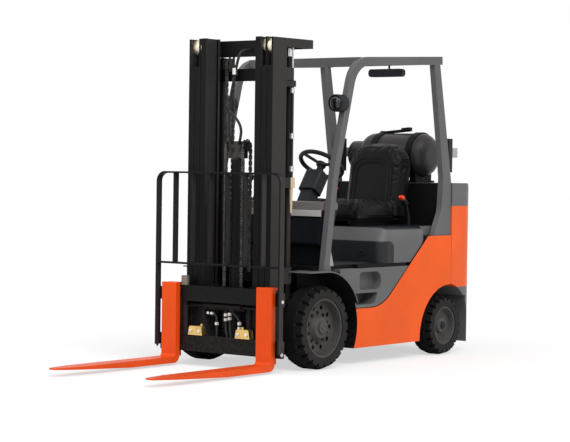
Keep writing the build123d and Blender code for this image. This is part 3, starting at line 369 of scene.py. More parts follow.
# %% [markdown]
# ## Rubber, plastic, vinyl and bare metal
# Rubber is dark and dull, and its side walls hold a brown-grey dust that the tread rubs off. Moulded
# plastic has a fine leathery grain. Vinyl has a larger grain with creases. Bare metals are fully
# metallic, and what tells them apart is colour and how rough they are. Lenses are glossy over a deep
# tint.

# %% Other finishes
def grained(finish, colour, roughness, grain, depth):
    patch = finish.between(finish.noise(9.0, 4.0), 0.35, 0.7)
    finish.set("Base Color", finish.mix(patch, colour, (1.45, 1.43, 1.4), "MULTIPLY"))
    finish.set("Roughness", roughness + 0.1 * patch)
    cells = finish.node("TexVoronoi", {"feature": "SMOOTH_F1"}, {"Vector": finish.place(), "Scale": grain})
    finish.relief(cells, 0.25, depth, 0.0025)
    return finish


def moulded(name, colour, roughness, grain, depth, gloss):
    return grained(Finish(name, Specular_IOR_Level=gloss), colour, roughness, grain, depth)


def metal(name, colour, roughness, scratch, stain):
    finish = Finish(name, Metallic=1.0)
    drag = finish.noise(scratch, 4.0, (1, 1, 0.08))
    blot = finish.between(finish.noise(18.0, 5.0), 0.4, 0.7)
    finish.set("Base Color", finish.mix(blot, colour, stain))
    finish.set("Roughness", roughness + 0.12 * drag + 0.1 * blot)
    finish.relief(drag, 0.08, 0.0003, 0.001)
    return finish


def lens(name, colour):
    finish = Finish(name, Specular_IOR_Level=0.5, Coat_Weight=0.4, Coat_Roughness=0.03)
    ribs = finish.waves(55.0)
    finish.set("Base Color", finish.mix(ribs * 0.35, colour, tuple(0.45 * channel for channel in colour)))
    finish.set("Roughness", 0.06 + 0.05 * finish.noise(40.0))
    finish.relief(ribs, 0.12, 0.0008, 0.001)
    return finish


print("kinds of finish: grained, metal, lens")

# %% Rubber, plastic, metals and lenses
rubber = Finish("rubber", Specular_IOR_Level=0.1)
wall_tone = rubber.mix(rubber.facing("Y"), (0.0035, 0.0035, 0.0035), (0.017, 0.0162, 0.0157))
grained(rubber, wall_tone, 0.75, 900.0, 0.0004)
hose_rubber = moulded("hose_rubber", (0.014, 0.0145, 0.015), 0.5, 700.0, 0.0003, 0.25)
plastic = moulded("plastic", (0.008, 0.009, 0.0115), 0.45, 1100.0, 0.0003, 0.2)
vinyl = moulded("vinyl", (0.0024, 0.0022, 0.0026), 0.38, 520.0, 0.0006, 0.13)
roller_steel = metal("roller_steel", (0.88, 0.78, 0.6), 0.34, 90.0, (0.7, 0.6, 0.44))
chain_steel = metal("chain_steel", (0.13, 0.125, 0.12), 0.42, 120.0, (0.06, 0.055, 0.05))
chrome = metal("chrome", (0.74, 0.74, 0.75), 0.12, 150.0, (0.62, 0.62, 0.63))
cast_dark = metal("cast_dark", (0.06, 0.058, 0.055), 0.5, 60.0, (0.025, 0.024, 0.023))
gold_zinc = metal("gold_zinc", (0.76, 0.53, 0.19), 0.3, 60.0, (0.6, 0.44, 0.2))
bolt_zinc = metal("bolt_zinc", (0.78, 0.77, 0.75), 0.26, 80.0, (0.55, 0.53, 0.5))
mirror_glass = metal("mirror_glass", (0.8, 0.82, 0.82), 0.03, 20.0, (0.78, 0.8, 0.8))
engine_iron = metal("engine_iron", (0.1, 0.1, 0.1), 0.6, 40.0, (0.05, 0.045, 0.04))
lamp_glass = lens("lamp_glass", (0.006, 0.0065, 0.007))
red_glass = lens("red_glass", (0.42, 0.012, 0.012))
amber_glass = lens("amber_glass", (0.62, 0.17, 0.012))
clear_glass = lens("clear_glass", (0.32, 0.33, 0.34))
print("finishes:", len(bpy.data.materials))

# %% [markdown]
# ## Hose line on the mast
# The line beside the left upright is one solid, but it is made of black hose, bright fittings, a beaded
# chain and a tan sleeve with its clamp. Each lies at its own height, so bands of height give each its
# colour.

# %% Hose line
FITTINGS = ((1.760, 1.794), (1.470, 1.504), (1.260, 1.294))
BEADS = (1.841, 2.060)
SLEEVE = (0.990, 1.222)
CLAMP_REACH = 0.118
hose_line = Finish("hose_line", Specular_IOR_Level=0.25, Roughness=0.4)


def band(low, high):
    return above(hose_line, "Z", low) * (1 - above(hose_line, "Z", high))


silver = band(*BEADS)
for limits in FITTINGS:
    silver = silver + band(*limits)
clear_of_mast = 1 - above(hose_line, "X", AXLE + CLAMP_REACH)
sleeve = hose_line.mix(band(*SLEEVE) * clear_of_mast, (0.012, 0.012, 0.0125), (0.6, 0.45, 0.28))
hose_line.set("Base Color", hose_line.mix(silver, sleeve, (0.6, 0.59, 0.56)))
hose_line.set("Metallic", silver * 0.8)
hose_line.relief(hose_line.waves(30.0), 0.3, 0.003, 0.001)
print("hose line with", len(FITTINGS), "fittings")

# %% [markdown]
# ## Dressing the solids
# A table from finish to nodes is easier to check than a line for each node: every node of the truck
# appears once.

# %% Dress the solids
DRESS = {
    orange_body: ["side_sills"],
    counterweight_paint: ["counterweight"],
    orange_fork: ["fork_left", "fork_right"],
    charcoal: ["guard_left", "guard_right", "guard_roof"],
    arch_paint_and_shade: ["step_panels", "front_fenders"],
    hood_paint_and_shade: ["hood"],
    black_frame: ["main_frame", "floor_plate", "pedals", "radiator_cover", "seat_base", "tank_cradle",
                  "drive_axle", "steer_axle", "knuckle_left", "knuckle_right", "tilt_barrels"],
    black_mast: ["mast_outer", "mast_middle", "mast_inner", "lift_barrels", "free_barrel", "carriage",
                 "side_shifter", "backrest"],
    dash_plastic: ["front_cowl"],
    plastic: ["steering_column", "control_levers", "steering_wheel", "mirror", "rear_lamps", "head_lamps"],
    hose_line: ["mast_hose"],
    vinyl: ["seat_cushion", "seat_back"],
    tank_paint: ["gas_tank"],
    engine_iron: ["engine"],
    rubber: ["tyre_front_left", "tyre_front_right", "tyre_rear_left", "tyre_rear_right"],
    disc_paint_and_shade: ["disc_front_left", "disc_front_right"],
    wheel_grey: ["disc_rear_left", "disc_rear_right"],
    roller_steel: ["outer_rollers", "middle_rollers"],
    chain_steel: ["stage_chain_front", "stage_chain_rear", "lift_chain_front", "lift_chain_rear"],
    chrome: ["lift_rods", "tilt_rods"],
    cast_dark: ["crosshead"],
    gold_zinc: ["lower_hooks"],
}
for finish, names in DRESS.items():
    for name in names:
        nodes[name].data.materials.clear()
        nodes[name].data.materials.append(finish.material)
print("dressed", sum(len(names) for names in DRESS.values()), "nodes")

# %% [markdown]
# ## Modelling by hand, in code
# The pieces below are modelled as one would at the screen: a primitive, then insets, extrusions and
# bevels on faces that are picked by where they are and which way they look. Operators work on whatever is
# selected, so each piece starts with nothing selected. A small piece is modelled at the origin, looking
# up, and then copied to its places, each copy with its own mesh, and joined.

# %% Helpers for modelling
def fresh():
    """Leave edit mode and select nothing."""
    active = bpy.context.view_layer.objects.active
    if active and active.mode != "OBJECT":
        bpy.ops.object.mode_set(mode="OBJECT")
    bpy.ops.object.select_all(action="DESELECT")


def choose(piece):
    fresh()
    piece.select_set(True)
    bpy.context.view_layer.objects.active = piece


def start(kind, **settings):
    """Add a primitive by itself and put its place into its mesh."""
    fresh()
    getattr(bpy.ops.mesh, f"primitive_{kind}_add")(**settings)
    bpy.ops.object.transform_apply(location=True, rotation=True, scale=True)
    return bpy.context.object


def slab(low, high):
    """Box between two corners."""
    centre = [(a + b) / 2 for a, b in zip(low, high)]
    return start("cube", size=1, location=centre, scale=[b - a for a, b in zip(low, high)])


def pick(piece, kind, test):
    """Go into edit mode with those faces or vertices selected that pass a test."""
    choose(piece)
    bpy.ops.object.mode_set(mode="EDIT")
    bpy.ops.mesh.select_mode(type=kind)
    bpy.ops.mesh.select_all(action="DESELECT")
    bpy.ops.object.mode_set(mode="OBJECT")
    for item in piece.data.polygons if kind == "FACE" else piece.data.vertices:
        item.select = test(item)
    bpy.ops.object.mode_set(mode="EDIT")


def edit(piece, test):
    """Pick faces by their centre and normal."""
    pick(piece, "FACE", lambda face: test(face.center, face.normal))


print("selection helpers ready")

# %% Shaping and placing
UP = (0, 0, 1)
LEFT = (0, 1, 0)
FORWARD = (1, 0, 0)


def raise_by(distance):
    bpy.ops.mesh.extrude_region_move(TRANSFORM_OT_translate={"value": (0, 0, distance)})


def soften(piece, width):
    """Round all edges of a piece."""
    edit(piece, lambda centre, normal: True)
    bpy.ops.mesh.bevel(offset=width, segments=2, affect="EDGES")
    fresh()
    return piece


def block(low, high, width):
    """Box between two corners with round edges."""
    return soften(slab(low, high), width)


def looks_up(centre, normal):
    return normal.z > 0.9


def stepped(sides, radius, height, steps):
    """Bar on the origin whose top is inset and raised in steps, given in shares of its radius."""
    piece = start("cylinder", vertices=sides, radius=radius, depth=height, location=(0, 0, height / 2))
    edit(piece, looks_up)
    for inset, rise in steps:
        if inset:
            bpy.ops.mesh.inset(thickness=inset * radius, depth=rise * radius)
        else:
            raise_by(rise * radius)
    fresh()
    return piece


def toward(place, direction):
    """Matrix from the origin, where a piece looks up, to a place where it looks in a direction."""
    return Matrix.Translation(place) @ Vector(direction).to_track_quat("Z", "Y").to_matrix().to_4x4()


print("shaping helpers ready")

# %% Copying, joining and dressing
def copies(piece, places):
    """Copy a piece to each place, join the copies into one mesh, and drop the model."""
    fresh()
    made = []
    for place in places:
        copy = piece.copy()
        copy.data = piece.data.copy()
        copy.data.transform(place)
        bpy.context.scene.collection.objects.link(copy)
        made.append(copy)
    bpy.data.objects.remove(piece)
    for copy in made:
        copy.select_set(True)
    bpy.context.view_layer.objects.active = made[0]
    if len(made) > 1:
        bpy.ops.object.join()
    return made[0]


def together(*pieces):
    """Join pieces into one mesh."""
    fresh()
    for piece in pieces:
        piece.select_set(True)
    bpy.context.view_layer.objects.active = pieces[0]
    bpy.ops.object.join()
    return pieces[0]


def dress(piece, name, finish, body, smooth=35):
    """Give a finished piece its name, finish and body, and smooth shading up to an angle."""
    choose(piece)
    bpy.ops.object.shade_smooth_by_angle(angle=math.radians(smooth))
    piece.name = name
    piece.data.name = name
    piece.data.materials.clear()
    piece.data.materials.append(finish.material)
    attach(piece, body)
    return piece


def spot(x, y, z):
    """Point given from the front axle: forward, left, and up from the floor."""
    return Vector((AXLE + x, y, z))


def middle(node):
    low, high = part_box(node)
    return (Vector(low) + Vector(high)) / 2


print("front axle at", round(AXLE, 4))

# %% [markdown]
# ## Nuts and hub caps
# A nut is a six-sided bar. Two insets break its top edge and leave a round land, from which the stud's
# end is raised. The same nut serves the wheels and, without much of a stud, as a bolt head elsewhere. A
# hub cap is a turned piece, so it comes from a cylinder whose top is inset and stepped. Behind the holes
# of the front discs lies the black rim of the brake drum, and with the painted shade on the hole walls
# it makes the holes look dark.

# %% Wheel fasteners
def nut(size, height, stud):
    return stepped(6, size, height, ((0.14, 0.1), (0.32, 0), (0, stud / size), (0.12, 0.06)))


def cap(radius, height):
    steps = ((0.08, 0.06), (0.2, 0), (0.03, -0.05), (0.35, 0), (0, 0.12), (0.05, 0.04))
    return stepped(36, radius, height, steps)


def washer(radius, bore, height):
    """Flat ring, from a bar whose two ends are inset and bridged."""
    piece = start("cylinder", vertices=48, radius=radius, depth=height, location=(0, 0, height / 2))
    edit(piece, lambda centre, normal: abs(normal.z) > 0.9)
    bpy.ops.mesh.inset(thickness=radius - bore, depth=0, use_individual=True)
    bpy.ops.mesh.bridge_edge_loops()
    bpy.ops.mesh.select_all(action="SELECT")
    bpy.ops.mesh.normals_make_consistent(inside=False)
    fresh()
    return piece


print("nut, cap and washer ready")

# %% Fit the wheels
FRONT_FACE = 0.026
HUBS = {"front": (0.065, 0.036, wheel_grey), "rear": (0.055, 0.026, plastic)}
WHEELS = (("front", "left", 1), ("front", "right", -1), ("rear", "left", 1), ("rear", "right", -1))
NUT_RING = 0.098
NUT_COUNT = 10
HOLE_RING = (0.116, 0.148)
DRUM_RIM = (0.154, 0.110, 0.005)
DRUM_GAP = 0.001
for end, side, sign in WHEELS:
    centre = middle(f"tyre_{end}_{side}")
    outward = Vector((0, sign, 0))
    body = f"wheel_{end}_{side}"
    hub, cap_radius, cap_finish = HUBS[end]
    hub_cap = copies(cap(cap_radius, 0.008), [toward(centre + hub * outward, outward)])
    dress(hub_cap, f"hub_cap_{end}_{side}", cap_finish, body)
    if end == "front":
        angles = [math.tau * (k + 0.5) / NUT_COUNT for k in range(NUT_COUNT)]
        spokes = [NUT_RING * Vector((math.cos(angle), 0, math.sin(angle))) for angle in angles]
        places = [toward(centre + FRONT_FACE * outward + spoke, outward) for spoke in spokes]
        dress(copies(nut(0.011, 0.009, 0.005), places), f"wheel_nuts_{side}", cast_dark, body)
        steps = [vertex.co - centre for vertex in nodes[f"disc_front_{side}"].data.vertices]
        at_holes = [step for step in steps if HOLE_RING[0] < math.hypot(step.x, step.z) < HOLE_RING[1]]
        back = min(step.dot(outward) for step in at_holes) - DRUM_GAP - DRUM_RIM[2]
        rim = copies(washer(*DRUM_RIM), [toward(centre + back * outward, outward)])
        dress(rim, f"brake_drum_{side}", black_frame, body)
print("nuts and caps on four wheels")

# %% [markdown]
# ## Leaf chain
# The mast is lifted by leaf chain: flat plates with round ends, laced in turn three and two across, on
# steel pins. The solids hold only the chain's outline, so these links replace them. One plate is an
# eight-sided bar whose upper half is moved up by a pitch. Links are then set from pin to pin along each
# run, and round the sheave at its top. The front runs shorten as the mast rises.

# %% Chain links
PITCH = 0.01905
PLATE_R = 0.006
PLATE_T = 0.0042
PIN_R = 0.0026
PIN_LENGTH = 0.0236
CHAIN_WIDTH = 0.024
WIDE_ROWS = (-0.0092, 0, 0.0092)
NARROW_ROWS = (-0.0046, 0.0046)


def plate(y):
    piece = start("cylinder", vertices=8, radius=PLATE_R, depth=PLATE_T, location=(0, y, 0),
                  rotation=(math.pi / 2, math.pi / 8, 0))
    pick(piece, "VERT", lambda vertex: vertex.co.z > 0)
    bpy.ops.transform.translate(value=(0, 0, PITCH))
    fresh()
    return piece


def link(rows):
    pin = start("cylinder", vertices=6, radius=PIN_R, depth=PIN_LENGTH, rotation=(math.pi / 2, 0, 0))
    edit(pin, lambda centre, normal: abs(normal.y) > 0.9)
    bpy.ops.mesh.inset(thickness=0.0008, depth=0.0004, use_individual=True)
    return together(*[plate(y) for y in rows], pin)


def chain(node, points, body):
    """Leaf chain through points in the side view, on both sides, in place of a node's solids."""
    low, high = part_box(node)
    across = high[1] - CHAIN_WIDTH / 2
    runs = []
    for first, rows in ((0, WIDE_ROWS), (1, NARROW_ROWS)):
        places = []
        for k in range(first, len(points) - 1, 2):
            here, there = (Vector((points[n][0], 0, points[n][1])) for n in (k, k + 1))
            stretch = (there - here).length / PITCH
            turn = (there - here).to_track_quat("Z", "Y").to_matrix().to_4x4()
            spread = Matrix.Diagonal((1, 1, stretch, 1))
            starts = [Matrix.Translation(here + Vector((0, side * across, 0))) for side in (-1, 1)]
            places += [begin @ turn @ spread for begin in starts]
        runs.append(copies(link(rows), places))
    piece = dress(together(*runs), node.replace("chain", "links"), chain_steel, body, 20)
    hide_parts(node)
    print(piece.name, len(points) - 1, "links a side")
    return piece


def straight(x, low, high):
    count = round((high - low) / PITCH)
    return [(x, low + (high - low) * k / count) for k in range(count + 1)]


def over_sheave(node, thick):
    """Points of a run and of the half turn at its top, from the node's box."""
    low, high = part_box(node)
    radius = (high[0] - low[0] - thick) / 2
    top = high[2] - radius - thick / 2
    count = round(math.pi * radius / PITCH)
    turn = [math.pi * (1 - k / count) for k in range(1, count + 1)]
    middle_x = (low[0] + high[0]) / 2
    arc = [(middle_x + radius * math.cos(a), top + radius * math.sin(a)) for a in turn]
    return straight(low[0] + thick / 2, low[2], top) + arc


print("chain pitch", PITCH)

# %% Lay the chains
CHAIN_T = 0.012
chain("lift_chain_rear", over_sheave("lift_chain_rear", CHAIN_T), "crosshead")
chain("stage_chain_rear", over_sheave("stage_chain_rear", CHAIN_T), "mast_middle")
for node, body, joint, keep in (("lift_chain_front", "crosshead", "carriage_lift", 0.315),
                                ("stage_chain_front", "mast_middle", "inner_raise", 0.078)):
    low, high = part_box(node)
    links = chain(node, straight((low[0] + high[0]) / 2, low[2], high[2]), body)
    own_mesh(links)

# %% [markdown]
# ## Padded seat
# Foam in a sewn cover bulges between its seams, and a solid with rounded edges can't show that. The pad
# starts as the solid's own skin, cut into an even net of small squares and drawn in by a few millimetres.
# Cloth with pressure from inside then fills it, with the underside held to its pan. The seams come last:
# each is a groove along the outline of the sewn panel, which lies a little deeper than the bolsters round
# it.

# %% Seat pads
PAD_CELL = 0.0075
PAD_SHRINK = 0.006
PAD_SWELL = 0.02
PAD_FRAMES = 18
PAD_PRESSURE = 4.0
SEAT_FOOT = spot(-1.270, 0, 0.943)
LEAN = math.radians(8)


def pad_from(node):
    """Copy a solid's skin, weld it and turn it into an even net."""
    mesh = nodes[node].data.copy()
    mesh.transform(nodes[node].matrix_world)
    piece = bpy.data.objects.new(node + "_pad", mesh)
    bpy.context.scene.collection.objects.link(piece)
    edit(piece, lambda centre, normal: True)
    bpy.ops.mesh.remove_doubles(threshold=0.0002)
    choose(piece)
    voxels = piece.modifiers.new("voxels", "REMESH")
    voxels.mode = "VOXEL"
    voxels.voxel_size = PAD_CELL
    bpy.ops.object.modifier_apply(modifier="voxels")
    return piece


def press(piece, depth):
    """Move each point inwards by a depth that depends on its place and on the way it looks."""
    moves = [depth(vertex.co, vertex.normal) * vertex.normal for vertex in piece.data.vertices]
    for vertex, move in zip(piece.data.vertices, moves):
        vertex.co -= move


def fill(piece, held):
    """Fill the pad from inside, with the points held that pass a test, and keep the swelling small."""
    press(piece, lambda place, normal: 0 if held(place) else PAD_SHRINK)
    before = [vertex.co.copy() for vertex in piece.data.vertices]
    group = piece.vertex_groups.new(name="held")
    group.add([vertex.index for vertex in piece.data.vertices if held(vertex.co)], 1.0, "REPLACE")
    cloth = piece.modifiers.new("foam", "CLOTH")
    cloth.settings.vertex_group_mass = "held"
    cloth.settings.use_pressure = True
    cloth.settings.uniform_pressure_force = PAD_PRESSURE
    cloth.settings.effector_weights.gravity = 0.0
    cloth.point_cache.frame_end = PAD_FRAMES
    for number in range(1, PAD_FRAMES + 1):
        bpy.context.scene.frame_set(number)
    choose(piece)
    bpy.ops.object.modifier_apply(modifier="foam")
    bpy.context.scene.frame_set(1)
    for vertex, old in zip(piece.data.vertices, before):
        step = vertex.co - old
        vertex.co = old + step * min(1, PAD_SWELL / max(step.length, 1e-6))
    piece.data.update()


print("seat foot at", [round(value, 3) for value in SEAT_FOOT])

# %% Seams
SEAM_DEPTH = 0.006
SEAM_WIDTH = 0.006
PANEL_DEPTH = 0.01
PANEL_EDGE = 0.03
CUSHION_PANEL = (0.165, 0.19, 0.06)
CUSHION_MIDDLE = AXLE - 1.04
BACK_PANEL = (0.155, 0.26, 0.1)
BACK_MIDDLE = 0.14


def outline(across, along, half_across, half_along, corner):
    """Distance from a rectangle with round corners, below 0 inside it."""
    over = abs(across) - (half_across - corner)
    past = abs(along) - (half_along - corner)
    return math.hypot(max(over, 0), max(past, 0)) + min(max(over, past), 0) - corner


def sewn(distance):
    """A stitched groove on the outline of a panel, and a step down inside it."""
    groove = SEAM_DEPTH * math.exp(-((distance / SEAM_WIDTH) ** 2))
    return groove + PANEL_DEPTH * min(max(-distance / PANEL_EDGE, 0), 1)


def lean_back(place):
    """A point in the backrest's own frame: forward and up along it."""
    step = place - SEAT_FOOT
    forward = step.x * math.cos(LEAN) + step.z * math.sin(LEAN)
    return forward, -step.x * math.sin(LEAN) + step.z * math.cos(LEAN)


def cushion_depth(place, normal):
    return sewn(outline(place.y, place.x - CUSHION_MIDDLE, *CUSHION_PANEL)) if normal.z > 0.5 else 0


def back_depth(place, normal):
    high = lean_back(place)[1]
    return sewn(outline(place.y, high - BACK_MIDDLE, *BACK_PANEL)) if normal.x > 0.5 else 0


print("sewn panels:", CUSHION_PANEL, BACK_PANEL)

# %% Make both pads
def on_pan(place):
    return place.z < SEAT_FOOT.z + 0.012


def on_shell(place):
    return lean_back(place)[0] < -0.05 or place.z < 0.93


for node, held, depth in (("seat_cushion", on_pan, cushion_depth), ("seat_back", on_shell, back_depth)):
    pad = pad_from(node)
    fill(pad, held)
    press(pad, depth)
    dress(pad, node + "_pad", vinyl, "chassis", 60)
    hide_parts(node)
    print(pad.name, len(pad.data.polygons), "faces")

# %% [markdown]
# ## Hoses in the mast
# An oil hose hangs in the mast's window from the top tie down to the crosshead, and a short one loops
# beside the crosshead. A hose is a round tube along a smooth curve, so it starts as a curve with a round
# bevel. The curve is stiff at its ends, where a fitting holds it. On the truck the hoses fold up out of the
# window as the carriage rises; here they keep this one shape.

# %% Mast hoses
def tube(points, radius):
    """Round tube along a smooth curve drawn by control points."""
    curve = bpy.data.curves.new("tube", "CURVE")
    curve.dimensions = "3D"
    curve.bevel_depth = radius
    curve.bevel_resolution = 2
    curve.resolution_u = 6
    curve.use_fill_caps = True
    spline = curve.splines.new("NURBS")
    spline.points.add(len(points) - 1)
    for point, place in zip(spline.points, points):
        point.co = (*place, 1)
    spline.order_u = 3
    spline.use_endpoint_u = True
    piece = bpy.data.objects.new("tube", curve)
    bpy.context.scene.collection.objects.link(piece)
    choose(piece)
    bpy.ops.object.convert(target="MESH")
    return bpy.context.object


print("tube ready")

# %% Hang the hoses
LONG_LINE = [(0.182, 0.045, 2.035), (0.262, 0.045, 2.035), (0.297, 0.040, 1.985), (0.297, 0.006, 1.838),
             (0.297, -0.026, 1.708), (0.297, -0.030, 1.560), (0.297, -0.026, 1.470), (0.268, -0.026, 1.432)]
SHORT_LINE = [(0.297, -0.024, 1.640), (0.297, 0.020, 1.610), (0.297, 0.075, 1.535), (0.297, 0.066, 1.462),
              (0.268, 0.030, 1.432)]
HOSE_R = 0.009
hoses = [tube([spot(*point) for point in line], HOSE_R) for line in (LONG_LINE, SHORT_LINE)]
mast_hoses = dress(together(*hoses), "window_hoses", hose_rubber, "mast_inner", 60)
window_clamp = copies(cap(0.016, 0.04), [toward(spot(0.297, 0.013, 1.874), UP)])
dress(window_clamp, "window_clamp", bolt_zinc, "mast_inner")
for piece in (mast_hoses, window_clamp):
    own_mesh(piece)
print("hoses:", len(mast_hoses.data.polygons), "faces")

# %% [markdown]
# ## Side-shifter plumbing and fasteners
# The small cylinder between the carriage bars is fed by bright fittings: short tubes with a six-sided
# collar. They ride on the carriage, and the hooks below them slide past on the side-shifter. Bolts hold
# the hooks and the posts of the backrest, and a pin stands on each hook. Two bright rods reach from the
# cylinder to the side-shifter's uprights.

# %% Lines and fittings
PIPE_X = 0.346
PIPE_R = 0.008
pipes = [[(-0.150, 0.345), (-0.100, 0.343), (-0.070, 0.325), (-0.068, 0.290), (-0.068, 0.185)],
         [(0.006, 0.371), (0.006, 0.300), (0.006, 0.250), (0.020, 0.185)],
         [(0.039, 0.371), (0.039, 0.300), (0.039, 0.250), (0.052, 0.185)],
         [(0.055, 0.370), (0.075, 0.345), (0.118, 0.315), (0.120, 0.250), (0.110, 0.185)]]
lines = [tube([spot(PIPE_X, y, z) for y, z in pipe], PIPE_R) for pipe in pipes]
dress(together(*lines), "shift_lines", hose_rubber, "carriage", 60)
collars = [(-0.145, 0.345, LEFT), (-0.115, 0.344, LEFT), (0.006, 0.300, UP), (0.006, 0.330, UP),
           (0.039, 0.308, UP), (0.039, 0.336, UP), (0.119, 0.250, UP), (0.119, 0.280, UP),
           (-0.068, 0.270, UP)]
collar_places = [toward(spot(PIPE_X, y, z), way) for y, z, way in collars]
dress(copies(nut(0.014, 0.018, 0.006), collar_places), "shift_fittings", bolt_zinc, "carriage")
print("fittings:", len(collars))

# %% Bolts, pins, rods and the stop
HOOK_FACE = 0.414
HOOK_BOLTS = (0.160, 0.230)
POST_X = 0.416
POST_Y = 0.512
POST_BOLTS = (0.121, 0.450)
hook_places = [toward(spot(HOOK_FACE, side * y, 0.226), FORWARD) for side in (-1, 1) for y in HOOK_BOLTS]
dress(copies(nut(0.012, 0.009, 0.003), hook_places), "hook_bolts", bolt_zinc, "side_shifter")
pin_places = [toward(spot(0.392, y, 0.259), UP) for y in (-0.156, 0.182)]
dress(copies(cap(0.009, 0.014), pin_places), "hook_pins", gold_zinc, "side_shifter")
post_places = [toward(spot(POST_X, side * POST_Y, z), (0, side, 0)) for side in (-1, 1) for z in POST_BOLTS]
post_bolts = copies(nut(0.012, 0.007, 0.002), post_places)
dress(post_bolts, "backrest_bolts", bolt_zinc, "side_shifter")

rod = start("cylinder", vertices=24, radius=0.010, depth=0.264, location=(0, 0, 0.162))
soften(rod, 0.001)
rod_places = [toward(spot(0.357, 0, 0.392), (0, side, 0)) for side in (-1, 1)]
dress(copies(rod, rod_places), "shift_rods", chrome, "side_shifter")

stop = block(spot(0.374, -0.329, 0.517), spot(0.400, -0.279, 0.580), 0.004)
dress(stop, "fork_stop", cast_pale, "side_shifter")
print("bolts:", len(hook_places) + len(post_places))

# %% [markdown]
# ## Lamps and mirror
# A lamp's lens is a shallow dome inside a raised ring. Both come from one cylinder: the rim is inset and
# raised, then the middle is inset again and again, a little higher each time. The rear lamps are stacks
# of three flat lenses, and the mirror's glass is a slab with soft corners set into its shell.

# %% Lenses and glass
def ring_of(radius, height):
    return stepped(40, radius, height, ((0.05, 0.06), (0.1, 0), (0.04, -0.12)))


def dome(radius, height):
    return stepped(40, radius, height, [(0.19, rise) for rise in (0.16, 0.1, 0.06, 0.03)])


LAMP_R = 0.056
REAR_LAMP_FACE = -1.545
REAR_LAMP_Y = 0.4575
lamp_places = [toward(spot(-0.180, side * 0.464, 1.705), FORWARD) for side in (-1, 1)]
dress(copies(ring_of(LAMP_R, 0.006), lamp_places), "lamp_rings", plastic, "chassis")
lamp_domes = copies(dome(0.86 * LAMP_R, 0.002), lamp_places)
dress(lamp_domes, "lamp_lenses", lamp_glass, "chassis", 60)
for name, finish, low, high, depth in (("stop_lenses", red_glass, 1.444, 1.494, 0.010),
                                       ("reverse_lenses", clear_glass, 1.368, 1.436, 0.075),
                                       ("turn_lenses", amber_glass, 1.274, 1.360, 0.010)):
    tall = (high - low) / 2
    model = block((-0.017, -tall, -0.002), (0.017, tall, depth), 0.003)
    edit(model, looks_up)
    bpy.ops.mesh.inset(thickness=0.004, depth=0)
    bpy.ops.mesh.inset(thickness=0.001, depth=-0.002)
    places = [toward(spot(REAR_LAMP_FACE, side * REAR_LAMP_Y, (low + high) / 2), (-1, 0, 0))
              for side in (-1, 1)]
    dress(copies(model, places), name, finish, "chassis")
low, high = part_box("mirror")
glass = block((low[0] - 0.002, 0.167, 1.914), (low[0] + 0.004, 0.435, 1.960), 0.002)
dress(glass, "mirror_glass", mirror_glass, "chassis")
print("lamps at", round(lamp_places[1].translation.z, 3))

# %% [markdown]
# ## Gas bottle and seat belt
# The bottle lies in a cradle under two straps. A lever locks the strap, and a valve with a hand wheel
# sits inside the collar. Beside the seat a stiff stalk carries the orange belt buckle.

# %% Bottle fittings
TANK_X = -1.640
TANK_Z = 1.384
lever = block((-0.020, 0.0, -0.012), (0.020, 0.226, 0.008), 0.004)
grip = block((-0.024, 0.165, -0.010), (0.024, 0.234, 0.018), 0.005)
slope_up = Matrix.Translation(spot(TANK_X, -0.172, 1.545)) @ Matrix.Rotation(math.radians(5), 4, "X")
hinge = block(spot(-1.664, -0.190, 1.534), spot(-1.616, -0.150, 1.556), 0.004)
strap_lever = together(copies(together(lever, grip), [slope_up]), hinge)
dress(strap_lever, "strap_lever", black_frame, "chassis", 50)
valve = copies(nut(0.026, 0.030, 0.030), [toward(spot(TANK_X, -0.318, TANK_Z), (0, -1, 0))])
hand_wheel = start("torus", major_radius=0.030, minor_radius=0.006, major_segments=24, minor_segments=8)
spokes = [block((-0.030, -0.004, -0.003), (0.030, 0.004, 0.003), 0.001)]
spokes.append(block((-0.004, -0.030, -0.003), (0.004, 0.030, 0.003), 0.001))
hand_wheel = copies(together(hand_wheel, *spokes), [toward(spot(TANK_X, -0.388, TANK_Z), (0, -1, 0))])
dress(together(valve, hand_wheel), "gas_valve", gold_zinc, "chassis")
print("bottle fittings done")

# %% Belt buckle
BELT_Y = 0.285
BELT_LEAN = (0.7, 0, 0.7)
STALK = [(-1.300, 0.893), (-1.300, 0.960), (-1.270, 1.030), (-1.226, 1.072)]
stalk = tube([spot(x, BELT_Y, z) for x, z in STALK], 0.011)
case = copies(block((-0.022, -0.014, 0.0), (0.022, 0.014, 0.060), 0.005),
              [toward(spot(-1.262, BELT_Y, 1.036), BELT_LEAN)])
dress(together(stalk, case), "belt_stalk", plastic, "chassis", 60)
clasp = slab((-0.018, -0.011, 0.0), (0.018, 0.011, 0.026))
edit(clasp, looks_up)
bpy.ops.mesh.inset(thickness=0.004, depth=0)
bpy.ops.mesh.inset(thickness=0.001, depth=-0.006)
clasp = copies(soften(clasp, 0.0015), [toward(spot(-1.221, BELT_Y, 1.077), BELT_LEAN)])
dress(clasp, "belt_buckle", buckle_orange, "chassis")
print("belt done")

# %% [markdown]
# ## In the driver's reach
# Rubber boots close the slots of the levers, the short lever has a red end, and each pedal has a ribbed
# pad. A ribbed mat covers the floor. The steering wheel's hub has a cap, and an oval catch sits on the
# front of the hood. A pale gusset braces the foot of each front pillar: a slab whose top is drawn in to a
# point.

# %% Levers
def boot(radius):
    fold = ((0.12, 0), (0, 0.008 / radius), (0.06, 0.002 / radius))
    return stepped(24, radius, 0.006, 3 * fold)


boot_places = [toward(spot(-0.205, y, 1.066), UP) for y in (-0.150, -0.205, -0.260)]
dress(copies(boot(0.025), boot_places), "lever_boots", hose_rubber, "chassis")
reach = Vector((-0.53, 0, 0.848))
lever_end = copies(dome(0.0172, 0.004), [toward(spot(-0.225, 0.400, 1.067) + 0.103 * reach, reach)])
dress(lever_end, "lever_end", signal_red, "chassis", 60)
print("boots:", len(boot_places))

